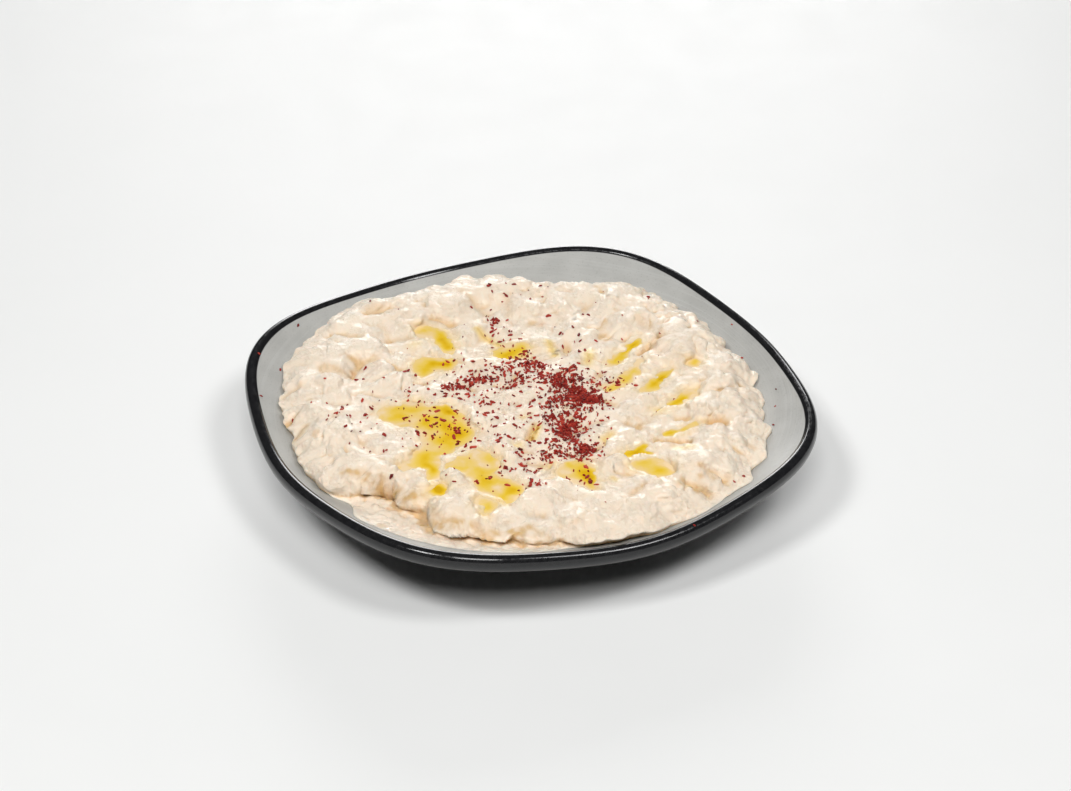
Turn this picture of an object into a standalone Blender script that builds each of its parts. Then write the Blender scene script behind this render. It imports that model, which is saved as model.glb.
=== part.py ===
"""A bowl of hummus: a shallow rounded-square melamine dish, grey inside and black outside, spread to
above its rim with hummus, which holds pools of olive oil and is sprinkled with sumac flakes.

Metres, +Z up. The origin is on the table, under the middle of the dish. The dish's sides lie along X and Y,
and its corners point between them. Heights of the food are given from the mean rim of the dish.
"""

import math
import random

import bmesh
import bpy
from mathutils import Matrix, Vector, noise
from mathutils.bvhtree import BVHTree

MM = 0.001

# The dish.
DISH_RADIUS = 90 * MM  # mean radius of the edge where the grey inside meets the black lip
SQUARENESS = 0.0375  # how far the plan is drawn out to its four corners, as a share of the radius
CORNER_ROUNDING = 0.0087  # how far the corners and the sides' middles are drawn out together
RIM_HEIGHT = 25.5 * MM  # mean height of that edge over the table
RIM_WAVE = 1.9 * MM  # the corners stand this much over the mean rim, and the sides' middles under it
MOULDING_POWER = 1.6  # how late, from the foot out to the lip, the dish leaves the round and the flat
WELL_DEPTH = 18 * MM  # from the mean rim down to the middle of the inside
WELL_POWER = 2.8  # how late the inside turns up to the rim
WELL_RADII = [0.0, 24 * MM, 40 * MM, 52 * MM, 62 * MM, 70 * MM, 77 * MM, 84 * MM, DISH_RADIUS]
UNDER_RADII = [84 * MM, 70 * MM, 56 * MM]  # of the underside, from the lip in to the foot
WALL = 4 * MM
LIP_WIDTH = 3.8 * MM
LIP_CREST = 0.7 * MM  # how far the lip rises over its inner edge
LIP_ROUND = 1.2 * MM  # from the inner edge down to where the lip's outer face starts
LIP_DRAFT = 0.5 * MM  # how far the outer face, and the inside of the foot, lean in
LIP_FACE = 5.2 * MM  # from the inner edge down to the foot of the lip's outer face
FOOT_RADIUS = 44 * MM
FOOT_WIDTH = 4 * MM
FOOT_FLARE = 1 * MM  # how much wider the foot is at its top
DISH_STEPS = 64  # round the dish
PLACING_STEPS = 6  # rounds of finding the turned radius from the moulded one

# The hummus.
GAP = 0.3 * MM  # between pieces that touch
BED_GAP = 0.45 * MM  # under the hummus, where its flats lie across the dish's flats
GRID_CELLS = 44  # across the hummus, an even number
GRID_CROWDING = 1.25  # over 1 draws the grid's lines together towards the hummus's edge
UNDERSIDE_STEPS = 44  # round the underside
UNDERSIDE_INSET = 1.5 * MM  # how far inside the edge the underside's outermost ring stays
MEAN_OUTLINE = 81 * MM
# The outline's broad bays and swells: direction and half-width in degrees, and height in mm.
OUTLINE_BAYS = [
    (2, 12, -1.5),
    (56, 11, -7.0),
    (88, 6, -3.0),
    (107, 7, 2.0),
    (130, 20, 2.5),
    (167, 4, -2.5),
    (185, 6, -1.5),
    (208, 8, -12.0),
    (237, 6, -4.5),
    (258, 8, 1.0),
    (312, 12, 1.5),
    (333, 7, -1.0),
]
LOBE_SIZE = 9 * MM  # of the small lobes along the outline
LOBE_HEIGHT = 1.8 * MM
PLATEAU = 0.6 * MM  # the spread's level over the mean rim
RING_RISE = 1.9 * MM  # of the ridge that the spoon left all round
RING_PLACE = 0.80  # its place and width are shares of the outline's radius
RING_WIDTH = 0.13
MOUND_RISE = 0.9 * MM  # of the low mound in the middle
MOUND_WIDTH = 0.25
SHOULDER = 11 * MM  # how far in the edge starts to round over
SHOULDER_POWER = 2.2  # how squarely it does so
FOOT_STEEPNESS = (0.5, 0.9)  # 0.5 meets the dish upright, and 0.9, over the smear, at a slope
LUMP_SIZE = 11 * MM
LUMP_HEIGHT = 0.9 * MM
SMEAR_TURNS = (202, 249)  # the spread thins out to the rim between these two directions, in degrees
SMEAR_FADE = 8  # degrees to either side of them in which it comes and goes
SMEAR_RADIUS = 87.5 * MM
SMEAR_FOOT = 68 * MM  # where the smear is thickest, against the thick spread
SMEAR_THICKNESS = (3.4 * MM, 0.9 * MM)  # there, and towards its edge
SMEAR_ROUNDING = 24  # a higher power rounds a narrower band at its edge

# Marks of the spoon: both ends in mm from the middle, then half-width and height in mm.
SPOON_MARKS = [
    (-79, 13, -74, 15, 2.5, -1.5),
    (-80, 22, -74, 23, 1.8, -3.0),
    (-73, 36, -67, 37, 2.5, -1.2),
    (-56, 43, -49, 35, 2.5, -1.4),
    (-49, 35, -44, 41, 2.2, -1.2),
    (-38, 55, -32, 52, 3.0, -1.0),
    (-27, 59, -28, 50, 2.2, -1.0),
    (-28, 50, -21, 48, 2.5, -1.2),
    (-9, 56, -5, 52, 2.5, -1.2),
    (-27, 70, -21, 68, 3.5, -1.2),
    (10, 52, 7, 65, 3.0, -1.2),
    (20, 57, 16, 47, 2.5, -0.9),
    (45, 5, 58, 12, 2.0, -1.3),
    (60, 16, 65, 19, 1.8, -1.0),
    (39, 19, 40, 20, 3.0, -1.4),
    (54, 23, 55, 18, 3.5, -1.0),
    (-62, -3, -61, -17, 2.2, -0.8),
    (-30, -25, -26, -30, 3.2, -1.3),
    (-46, -51, -45, -50, 3.0, -1.0),
    (-31, -64, -27, -66, 3.0, -0.9),
    (26, -45, 34, -49, 2.0, -1.6),
    (47, -44, 49, -45, 4.2, -2.2),
    (37, -35, 40, -38, 2.2, -1.0),
    (21, -69, 26, -75, 2.0, -1.8),
    (30, -69, 36, -72, 2.0, -1.1),
    (51, -59, 52, -60, 2.4, -1.2),
    (2, -69, 8, -66, 2.2, -1.4),
    (-12, -24, -7, -19, 1.6, -1.8),
    (23, -3, 27, 0, 2.2, -1.2),
    (-58, -7, -50, -16, 4.0, 1.0),
    (-44, -23, -45, -31, 2.0, 1.1),
    (-38, 49, -36, 50, 4.0, 1.2),
    (-3, 67, -8, 58, 2.0, 1.3),
    (-73, 15, -72, 19, 3.0, 1.0),
    (34, -21, 48, -11, 2.4, 1.1),
    (36, -8, 47, 2, 2.4, 1.0),
    (48, -36, 49, -38, 2.6, 1.2),
    (42, -57, 40, -62, 2.4, 1.1),
    (5, 69, 7, 68, 3.0, 1.0),
    (1, -50, 4, -60, 2.4, 0.9),
]

# The oil: a name, the level over the mean rim in mm, and the outline's points in mm from the middle.
OIL_POOLS = [
    ("oil_left", 0.4, [(-50, 11.5), (-44, 13), (-36.5, 11.5), (-33, 7), (-26, 3.5), (-26, -7), (-28, -16),
                       (-37, -20), (-43, -20.5), (-45.5, -29), (-50.5, -32), (-50, -24.5), (-57.5, -21),
                       (-50, -17), (-44.5, -12), (-41.5, -3), (-47, 1.5)]),
    ("oil_left_drop", 0.5, [(-53.5, -38), (-51, -34), (-48, -35.5), (-48.5, -39), (-51, -40.5)]),
    ("oil_front_left", 0.5, [(-43, -28), (-34, -23.5), (-27, -26.5), (-27.5, -34), (-30.5, -39),
                             (-25.5, -47), (-28, -51.5), (-35, -53), (-38.5, -43), (-38.5, -33)]),
    ("oil_front_drip", 0.8, [(-41.5, -48.5), (-38, -49), (-38, -53.5), (-43, -57), (-42, -52.5)]),
    ("oil_back_left", 0.5, [(-17, 52), (-13, 53.5), (-9, 48), (-8.5, 40.5), (-11.5, 34), (-14.5, 36),
                            (-14.5, 44), (-18, 47.5)]),
    ("oil_mid_left", 0.5, [(-28, 30), (-25, 34.5), (-20, 34.5), (-14, 30), (-14.5, 25.5), (-21.5, 25),
                           (-27.5, 24.5)]),
    ("oil_middle", 0.5, [(0.5, 22), (1.5, 28.5), (10, 29.5), (13.5, 27), (11, 22), (5, 20)]),
    ("oil_front", 0.6, [(-12.5, -45), (-7, -42.5), (-2, -44.5), (-0.5, -49.5), (-3, -56), (-6.5, -60.5),
                        (-9, -55), (-12.5, -48.5)]),
    ("oil_groove_back", 0.3, [(31.5, 2), (35, 6.5), (41, 9.5), (49.5, 13.7), (47, 9.5), (39, 5.5),
                              (35.5, 2)]),
    ("oil_groove_middle", 0.3, [(23.5, -6.5), (26, -11), (33.5, -10), (40.5, -4), (43.5, 1), (37, -2),
                                (30, -6.5)]),
    ("oil_groove_right", 0.3, [(35, -15.5), (41, -15.8), (50.5, -9.3), (43, -10.5)]),
    ("oil_groove_front", 0.4, [(33.5, -28.8), (41, -29.5), (47, -27.3), (52.5, -23), (44, -24.3)]),
    ("oil_front_right", 0.6, [(28.5, -42.7), (31, -41), (35, -41.6), (41, -41.2), (37, -43.4), (32.5, -44)]),
    ("oil_front_middle", 0.7, [(12, -46), (20.5, -45), (18.5, -47.5), (20.5, -50.5), (13, -49.5)]),
    ("oil_front_pale", 1.0, [(11.5, -53), (16.5, -52), (21.5, -58), (19.5, -63), (14, -62.5)]),
    ("oil_right", 0.6, [(56.5, -8.5), (60.5, -6.5), (60.5, -9.5), (57.5, -11.5)]),
]
OIL_DEPTH = 1.2 * MM
OUTLINE_STEPS = 3  # straight stretches between two points of an outline
POCKET_RISE = 3 * MM  # how far over the oil the pocket's cutter reaches
LEVELLED = 3.0 * MM  # how far from a pool the hummus still keeps to its level

# The sumac: where it fell thickest, as middle, spread along X and Y in mm, and share of the flakes.
SUMAC_DRIFTS = [
    (13.5, 0.5, 4.5, 5.5, 0.19),
    (14, -12, 4.0, 4.0, 0.08),
    (3, -37.5, 2.2, 2.6, 0.05),
    (3, -22, 4.0, 6.5, 0.09),
    (7, 14, 3.2, 3.0, 0.05),
    (0, 10, 3.5, 1.6, 0.03),
    (-20, 15, 5.0, 2.2, 0.05),
    (-27, 11, 2.4, 1.5, 0.02),
    (-5, 15, 5.0, 2.5, 0.03),
    (10, 45.5, 1.1, 1.4, 0.012),
    (5, 33, 3.5, 3.5, 0.02),
    (22, -5, 3.2, 4.0, 0.03),
    (30, -7, 2.4, 2.4, 0.012),
    (18, -18, 2.2, 2.0, 0.015),
    (-36, -8, 3.6, 3.4, 0.025),
    (-29, -8, 2.0, 1.6, 0.012),
    (-6, -52, 2.2, 3.6, 0.015),
    (-22.5, -50, 2.4, 1.0, 0.012),
    (-30, -38.5, 3.6, 0.9, 0.01),
    (-20, -19, 1.6, 3.6, 0.015),
    (-11, -33, 2.6, 2.6, 0.02),
    (23, 6, 2.6, 2.6, 0.018),
    (-62, 13, 2.6, 5.0, 0.012),
    (-12, -1, 21.0, 18.0, 0.17),
    (-42, 6, 13.0, 13.0, 0.025),
    (40, 30, 12.0, 10.0, 0.012),
]
SUMAC_COUNT = 900  # on the real spread
SUMAC_FUSED = 100  # the largest of them, fused to the hummus and the oil here
SUMAC_SEED = 7
FLAKE_SIDES = 5
FLAKE_LENGTH = (0.9 * MM, 3.0 * MM)
FLAKE_RARITY = 1.8  # a higher power makes long flakes rarer
FLAKE_WIDTH = (0.4, 0.75)  # as a share of the length
FLAKE_THICKNESS = 1.5 * MM
FLAKE_SUNK = 0.2  # how far its middle lies under the surface, as a share of the thickness
FLAKE_FOOT = 0.5  # radii of the chip's foot and top, as shares of its length and width
FLAKE_TOP = 0.38
FLAKE_UNEVEN = (0.8, 1.15)  # by how much each corner lies in or out
FLAKE_TILT = 0.12  # by how much each corner lies up or down, as a share of the thickness


def clear_scene():
    for thing in list(bpy.data.objects):
        bpy.data.objects.remove(thing, do_unlink=True)


def new_collection(name):
    group = bpy.data.collections.new(name)
    bpy.context.scene.collection.children.link(group)
    return group


def add_object(name, mesh, group):
    thing = bpy.data.objects.new(name, mesh)
    group.objects.link(thing)
    return thing


def surface(name, colour, roughness, metallic=0.0):
    material = bpy.data.materials.new(name)
    material.use_nodes = True
    shader = material.node_tree.nodes["Principled BSDF"]
    shader.inputs["Base Color"].default_value = (*colour, 1)
    shader.inputs["Roughness"].default_value = roughness
    shader.inputs["Metallic"].default_value = metallic
    return material


def applied(thing):
    """Gives the object the mesh that its modifiers, or its curve, make of it."""
    bpy.context.view_layer.update()
    graph = bpy.context.evaluated_depsgraph_get()
    mesh = bpy.data.meshes.new_from_object(thing.evaluated_get(graph), depsgraph=graph)
    mesh.name = thing.name
    return mesh


def smooth_step(value):
    value = min(1.0, max(0.0, value))
    return value * value * (3 - 2 * value)


# ---- The dish -----------------------------------------------------------------------------------------

def out_of_round(radius):
    """0 over the round foot, growing to 1 at the lip."""
    round_part = FOOT_RADIUS + FOOT_FLARE
    share = (radius - round_part) / (DISH_RADIUS - round_part)
    return min(1.0, max(0.0, share)) ** MOULDING_POWER


def squared_by(radius, turn):
    """How far the moulded plan lies outside the circle of this radius."""
    corners = CORNER_ROUNDING * math.cos(8 * turn) - SQUARENESS * math.cos(4 * turn)
    return DISH_RADIUS * corners * out_of_round(radius)


def waved_by(radius, turn):
    """How far the surface there is lifted by the wave in the rim."""
    return -RIM_WAVE * math.cos(4 * turn) * out_of_round(radius)


def well_height(radius):
    """Height over the table of the turned inside at this radius."""
    return RIM_HEIGHT - WELL_DEPTH * (1 - (radius / DISH_RADIUS) ** WELL_POWER)


def inside_height(x, y):
    """Height over the table of the finished dish's inside."""
    turn = math.atan2(y, x)
    plan_radius = math.hypot(x, y)
    radius = plan_radius
    for _ in range(PLACING_STEPS):
        radius = plan_radius - squared_by(radius, turn)
    return well_height(radius) + waved_by(radius, turn)


def dish_profile():
    """The dish's section as turned, from the middle of the inside over the lip to the middle of the foot."""
    inside = [(radius, well_height(radius)) for radius in WELL_RADII]
    lip_out = DISH_RADIUS + LIP_WIDTH
    lip = [
        (DISH_RADIUS + 0.3 * LIP_WIDTH, RIM_HEIGHT + LIP_CREST),
        (DISH_RADIUS + 0.75 * LIP_WIDTH, RIM_HEIGHT + 0.4 * LIP_CREST),
        (lip_out, RIM_HEIGHT - LIP_ROUND),
        (lip_out - LIP_DRAFT, RIM_HEIGHT - LIP_FACE),
    ]
    underside = [(radius, well_height(radius) - WALL) for radius in UNDER_RADII]
    foot_in = FOOT_RADIUS - FOOT_WIDTH
    foot = [
        (FOOT_RADIUS + FOOT_FLARE, well_height(FOOT_RADIUS) - WALL),
        (FOOT_RADIUS, 0.0),
        (foot_in, 0.0),
        (foot_in - LIP_DRAFT, well_height(foot_in) - WALL),
        (0.0, well_height(0.0) - WALL),
    ]
    return inside + lip + underside + foot


def make_dish(group):
    outline = bmesh.new()
    points = [outline.verts.new((radius, 0, height)) for radius, height in dish_profile()]
    for first, second in zip(points, points[1:]):
        outline.edges.new((first, second))
    profile_mesh = bpy.data.meshes.new("dish_profile")
    outline.to_mesh(profile_mesh)
    outline.free()
    turned = add_object("dish_turned", profile_mesh, group)
    screw = turned.modifiers.new("Turned", "SCREW")
    screw.steps = DISH_STEPS
    screw.render_steps = DISH_STEPS
    screw.use_merge_vertices = True
    screw.merge_threshold = 0.00001
    mesh = applied(turned)
    bpy.data.objects.remove(turned)
    for point in mesh.vertices:
        radius = math.hypot(point.co.x, point.co.y)
        turn = math.atan2(point.co.y, point.co.x)
        scale = 1 + squared_by(radius, turn) / radius if radius > MM else 1
        point.co.x *= scale
        point.co.y *= scale
        point.co.z += waved_by(radius, turn)
    mesh.name = "dish"
    mesh.materials.append(surface("dish_grey_inside", (0.46, 0.45, 0.41), 0.6))
    mesh.materials.append(surface("dish_black_outside", (0.012, 0.012, 0.012), 0.15))
    for face in mesh.polygons:
        middle = face.center
        outer = math.hypot(middle.x, middle.y) > DISH_RADIUS + squared_by(
            DISH_RADIUS, math.atan2(middle.y, middle.x)
        )
        face.material_index = 1 if outer or face.normal.z < 0 else 0
    mesh.shade_smooth()
    mesh.set_sharp_from_angle(angle=math.radians(40))
    return add_object("dish", mesh, group)


# ---- The hummus ---------------------------------------------------------------------------------------

def closed_curve(points, steps):
    """A smooth closed line through the points, as a list with `steps` points for each one given."""
    line = []
    count = len(points)
    for index in range(count):
        before, start, end, after = (Vector(points[(index + shift) % count]) for shift in (-1, 0, 1, 2))
        for step in range(steps):
            t = step / steps
            line.append(
                0.5 * (2 * start + (end - before) * t + (2 * before - 5 * start + 4 * end - after) * t**2
                       + (3 * start - before - 3 * end + after) * t**3)
            )
    return line


def pool_lines():
    lines = {}
    for name, level, points in OIL_POOLS:
        line = [point * MM for point in closed_curve(points, OUTLINE_STEPS)]
        lines[name] = (RIM_HEIGHT + level * MM, line)
    return lines


def distance_to_line(x, y, line):
    """Distance to a closed line, less than 0 inside it."""
    nearest = 1.0
    inside = False
    for start, end in zip(line, line[1:] + line[:1]):
        along_x = end.x - start.x
        along_y = end.y - start.y
        to_x = x - start.x
        to_y = y - start.y
        share = (to_x * along_x + to_y * along_y) / (along_x**2 + along_y**2)
        share = min(1.0, max(0.0, share))
        nearest = min(nearest, math.hypot(to_x - share * along_x, to_y - share * along_y))
        if (start.y > y) != (end.y > y) and to_x < along_x * to_y / along_y:
            inside = not inside
    return -nearest if inside else nearest


def smear_share(turn):
    """1 where the spread thins out to the rim, 0 round the rest of the edge."""
    degrees = math.degrees(turn) % 360
    first, last = SMEAR_TURNS
    start = smooth_step((degrees - first + SMEAR_FADE) / (2 * SMEAR_FADE))
    return start * smooth_step((last + SMEAR_FADE - degrees) / (2 * SMEAR_FADE))


def mass_outline(turn):
    """Radius of the thick spread's foot."""
    degrees = math.degrees(turn)
    radius = MEAN_OUTLINE
    for at, width, rise in OUTLINE_BAYS:
        away = (degrees - at + 180) % 360 - 180
        radius += rise * MM * math.exp(-((away / width) ** 2))
    spot = Vector((math.cos(turn), math.sin(turn), 0.3)) * (MEAN_OUTLINE / LOBE_SIZE)
    return radius + LOBE_HEIGHT * 2 * noise.noise(spot)


def spread_outline(turn):
    """Radius of the whole spread's edge, with the smear."""
    share = smear_share(turn)
    mass = mass_outline(turn)
    return max(mass, share * SMEAR_RADIUS + (1 - share) * mass)


def spoon_marks(x, y):
    height = 0.0
    for x0, y0, x1, y1, width, rise in SPOON_MARKS:
        start = Vector((x0, y0)) * MM
        along = Vector((x1, y1)) * MM - start
        to = Vector((x, y)) - start
        share = min(1.0, max(0.0, to.dot(along) / along.length_squared))
        distance = (to - share * along).length
        if distance < 3 * width * MM:
            height += rise * MM * math.exp(-((distance / (width * MM)) ** 2))
    return height


def spread_height(x, y, lines):
    """Height over the table of the hummus's top."""
    turn = math.atan2(y, x)
    radius = math.hypot(x, y)
    bed = inside_height(x, y) + BED_GAP
    outline = mass_outline(turn)
    place = radius / outline
    top = RIM_HEIGHT + PLATEAU
    top += RING_RISE * math.exp(-(((place - RING_PLACE) / RING_WIDTH) ** 2))
    top += MOUND_RISE * math.exp(-((place / MOUND_WIDTH) ** 2))
    top += LUMP_HEIGHT * 2 * noise.noise(Vector((x, y, 0)) / LUMP_SIZE)
    top += spoon_marks(x, y)
    for level, line in lines.values():
        distance = distance_to_line(x, y, line)
        if distance < LEVELLED:
            keep = smooth_step(max(0.0, distance) / LEVELLED)
            top = level + (top - level) * keep
    over = max(0.0, radius - (outline - SHOULDER)) / SHOULDER
    smeared = smear_share(turn)
    steepness = FOOT_STEEPNESS[0] + (FOOT_STEEPNESS[1] - FOOT_STEEPNESS[0]) * smeared
    mass = (top - bed) * max(0.0, 1 - over**SHOULDER_POWER) ** steepness
    if smeared == 0:
        return bed + mass
    edge = spread_outline(turn)
    out = smooth_step((radius - SMEAR_FOOT) / (SMEAR_RADIUS - SMEAR_FOOT))
    thickest, thinnest = SMEAR_THICKNESS
    rounded = math.sqrt(max(0.0, 1 - (radius / edge) ** SMEAR_ROUNDING))
    smear = (thickest + (thinnest - thickest) * out) * rounded
    return bed + max(mass, smear)


def disc_place(column, row):
    """Where a point of the square grid lies on the disc: its turn, and its share of the edge's radius."""
    a = 2 * column / GRID_CELLS - 1
    b = 2 * row / GRID_CELLS - 1
    reach = max(abs(a), abs(b))
    if reach == 0:
        return 0.0, 0.0
    if abs(a) > abs(b):
        turn = math.pi / 4 * b / a + (math.pi if a < 0 else 0)
    else:
        turn = math.pi / 2 - math.pi / 4 * a / b + (math.pi if b < 0 else 0)
    return turn, 1 - (1 - reach) ** GRID_CROWDING


def add_top(solid, lines):
    """The grid of the top, with its diagonals towards the middle. It returns the points of its edge."""
    grid = {}
    for row in range(GRID_CELLS + 1):
        for column in range(GRID_CELLS + 1):
            turn, share = disc_place(column, row)
            radius = share * spread_outline(turn)
            x = radius * math.cos(turn)
            y = radius * math.sin(turn)
            on_edge = share == 1
            height = inside_height(x, y) + BED_GAP if on_edge else spread_height(x, y, lines)
            grid[column, row] = solid.verts.new((x, y, height))
    for row in range(GRID_CELLS):
        for column in range(GRID_CELLS):
            corners = [grid[column, row], grid[column + 1, row], grid[column + 1, row + 1],
                       grid[column, row + 1]]
            half = GRID_CELLS // 2
            if (column < half) != (row < half):
                corners = corners[1:] + corners[:1]
            solid.faces.new((corners[0], corners[1], corners[2]))
            solid.faces.new((corners[0], corners[2], corners[3]))
    last = GRID_CELLS
    edge = [grid[column, 0] for column in range(last)]
    edge += [grid[last, row] for row in range(last)]
    edge += [grid[last - column, last] for column in range(last)]
    edge += [grid[0, last - row] for row in range(last)]
    return edge


def add_underside(solid, edge):
    """Rings that follow the dish's inside, from the edge to a flat in the middle."""
    share = len(edge) // UNDERSIDE_STEPS
    turns = [math.atan2(point.co.y, point.co.x) for point in edge[::share]]
    ring = None
    for radius in reversed(WELL_RADII[1:-2]):
        lower = []
        for turn in turns:
            plan = radius + squared_by(radius, turn)
            x = plan * math.cos(turn)
            y = plan * math.sin(turn)
            reach = min(1.0, (spread_outline(turn) - UNDERSIDE_INSET) / plan)
            x *= reach
            y *= reach
            lower.append(solid.verts.new((x, y, inside_height(x, y) + BED_GAP)))
        for index in range(UNDERSIDE_STEPS):
            here, after = lower[index], lower[(index + 1) % UNDERSIDE_STEPS]
            if ring:
                solid.faces.new((ring[index], here, after, ring[(index + 1) % UNDERSIDE_STEPS]))
                continue
            outer = [edge[(index * share + step) % len(edge)] for step in range(share + 1)]
            half = share // 2
            for step in range(share):
                solid.faces.new((outer[step + 1], outer[step], here if step < half else after))
            solid.faces.new((outer[half], here, after))
        ring = lower
    solid.faces.new(list(reversed(ring)))


def make_hummus(group, lines):
    solid = bmesh.new()
    edge = add_top(solid, lines)
    add_underside(solid, edge)
    bmesh.ops.recalc_face_normals(solid, faces=solid.faces)
    mesh = bpy.data.meshes.new("hummus")
    solid.to_mesh(mesh)
    solid.free()
    mesh.materials.append(surface("hummus", (0.78, 0.66, 0.50), 0.45))
    return add_object("hummus", mesh, group)


# ---- The oil ------------------------------------------------------------------------------------------

def filled_outline(name, line, height, thickness, spare, group):
    """A flat closed solid of this outline, spread outwards by `spare`, with its middle at the height."""
    outline = bpy.data.curves.new(name, "CURVE")
    outline.dimensions = "2D"
    outline.fill_mode = "BOTH"
    outline.extrude = thickness / 2
    outline.offset = spare
    spline = outline.splines.new("POLY")
    spline.points.add(len(line) - 1)
    for point, place in zip(spline.points, line):
        point.co = (place.x, place.y, 0, 1)
    spline.use_cyclic_u = True
    guide = bpy.data.objects.new(name + "_outline", outline)
    group.objects.link(guide)
    guide.location.z = height
    mesh = applied(guide)
    mesh.transform(guide.matrix_world)
    bpy.data.objects.remove(guide)
    solid = bmesh.new()
    solid.from_mesh(mesh)
    bmesh.ops.remove_doubles(solid, verts=solid.verts, dist=0.00001)
    bmesh.ops.recalc_face_normals(solid, faces=solid.faces)
    solid.to_mesh(mesh)
    solid.free()
    mesh.name = name
    return add_object(name, mesh, group)


def make_oil(group, lines):
    pools = []
    oil = surface("olive_oil", (0.80, 0.55, 0.05), 0.05)
    for name, (level, line) in lines.items():
        pool = filled_outline(name, line, level - OIL_DEPTH / 2, OIL_DEPTH, 0.0, group)
        pool.data.materials.append(oil)
        pools.append(pool)
    return pools


def make_pockets(group, lines):
    """Cutters for the hollows that hold the oil, with a gap all round and open above."""
    depth = OIL_DEPTH + GAP + POCKET_RISE
    for name, (level, line) in lines.items():
        middle = level + POCKET_RISE - depth / 2
        cutter = filled_outline(name + "_pocket", line, middle, depth, GAP, group)
        cutter.hide_render = True
        cutter.display_type = "WIRE"


def combine(thing, group, operation):
    """Joins all of the group's objects to the thing, or cuts them out of it, and removes them."""
    modifier = thing.modifiers.new("Combined", "BOOLEAN")
    modifier.operation = operation
    modifier.operand_type = "COLLECTION"
    modifier.collection = group
    modifier.solver = "MANIFOLD"
    mesh = applied(thing)
    thing.modifiers.clear()
    thing.data = mesh
    for other in list(group.objects):
        bpy.data.objects.remove(other, do_unlink=True)


# ---- The sumac ----------------------------------------------------------------------------------------

def sumac_spots():
    """Every flake as place, length, width, turn and a number for its outline, longest first."""
    draw = random.Random(SUMAC_SEED)
    shares = [drift[4] for drift in SUMAC_DRIFTS]
    shortest, longest = FLAKE_LENGTH
    spots = []
    for _ in range(SUMAC_COUNT):
        x, y, spread_x, spread_y, _share = draw.choices(SUMAC_DRIFTS, shares)[0]
        place = Vector((draw.gauss(x, spread_x), draw.gauss(y, spread_y))) * MM
        length = shortest + (longest - shortest) * draw.random() ** FLAKE_RARITY
        width = length * draw.uniform(*FLAKE_WIDTH)
        spots.append((length, place, width, draw.uniform(0, math.pi), draw.random()))
    return sorted(spots, key=lambda spot: -spot[0])


def add_flake(spot, place, normal, group):
    """A chip with a few uneven sides lying on the surface, partly sunk in it."""
    length, _place, width, turn, shape = spot
    draw = random.Random(shape)
    chip = bmesh.new()
    bmesh.ops.create_cone(
        chip, cap_ends=True, segments=FLAKE_SIDES, radius1=FLAKE_FOOT, radius2=FLAKE_TOP, depth=1
    )
    for point in chip.verts:
        point.co.x *= draw.uniform(*FLAKE_UNEVEN)
        point.co.y *= draw.uniform(*FLAKE_UNEVEN)
        point.co.z += draw.uniform(-FLAKE_TILT, FLAKE_TILT)
    middle = Matrix.Translation(place - normal * FLAKE_SUNK * FLAKE_THICKNESS)
    lie = normal.to_track_quat("Z", "Y").to_matrix().to_4x4()
    size = Matrix.Diagonal((length, width, FLAKE_THICKNESS, 1))
    chip.transform(middle @ lie @ Matrix.Rotation(turn, 4, "Z") @ size)
    mesh = bpy.data.meshes.new("flake")
    chip.to_mesh(mesh)
    chip.free()
    add_object("flake", mesh, group)


def sprinkle(carriers, lines, group):
    """Fuses the longest flakes to what they lie on, clear of every pool's edge and of the spread's edge."""
    waiting = {carrier.name: [] for carrier in carriers}
    count = 0
    for spot in sumac_spots():
        if count == SUMAC_FUSED:
            break
        length, place = spot[:2]
        margin = length / 2 + 2 * GAP
        distances = {name: distance_to_line(place.x, place.y, line) for name, (_level, line) in lines.items()}
        nearest = min(distances, key=lambda name: abs(distances[name]))
        if abs(distances[nearest]) < margin:
            continue
        if place.length > mass_outline(math.atan2(place.y, place.x)) - SHOULDER:
            continue
        carrier = nearest if distances[nearest] < 0 else "hummus"
        waiting[carrier].append(spot)
        count += 1
    for carrier in carriers:
        if not waiting[carrier.name]:
            continue
        form = bmesh.new()
        form.from_mesh(carrier.data)
        tree = BVHTree.FromBMesh(form)
        form.free()
        for spot in waiting[carrier.name]:
            above = Vector((spot[1].x, spot[1].y, 2 * RIM_HEIGHT))
            place, normal, _face, _distance = tree.ray_cast(above, Vector((0, 0, -1)))
            add_flake(spot, place, normal, group)
        combine(carrier, group, "UNION")


def keep_one_body(thing):
    """Drops loose scraps and sealed hollows, which are every shell but the largest."""
    form = bmesh.new()
    form.from_mesh(thing.data)
    left = set(form.faces)
    shells = []
    while left:
        shell = set()
        edge = [left.pop()]
        while edge:
            face = edge.pop()
            shell.add(face)
            near = {other for side in face.edges for other in side.link_faces} & left
            left -= near
            edge.extend(near)
        shells.append(shell)
    largest = max(shells, key=len)
    scraps = [face for shell in shells if shell is not largest for face in shell]
    bmesh.ops.delete(form, geom=scraps, context="FACES")
    bmesh.ops.triangulate(form, faces=form.faces)
    form.to_mesh(thing.data)
    form.free()


def main():
    clear_scene()
    parts = new_collection("bowl_of_hummus")
    helpers = new_collection("cutters_and_flakes")
    lines = pool_lines()
    make_dish(parts)
    hummus = make_hummus(parts, lines)
    make_pockets(helpers, lines)
    combine(hummus, helpers, "DIFFERENCE")
    pools = make_oil(parts, lines)
    sprinkle([hummus, *pools], lines, helpers)
    for thing in [hummus, *pools]:
        keep_one_body(thing)


main()
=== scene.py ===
"""The looks of a bowl of hummus: a matte grey dish with a gloss black lip, lumpy cream hummus, golden
olive oil lying in its hollows, and dark red sumac flakes. Metres, +Z up, in the frame of the CAD part.
"""

import math
import random

import bpy
import numpy as np
from mathutils import Matrix, Vector, noise
from mathutils.bvhtree import BVHTree


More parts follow.
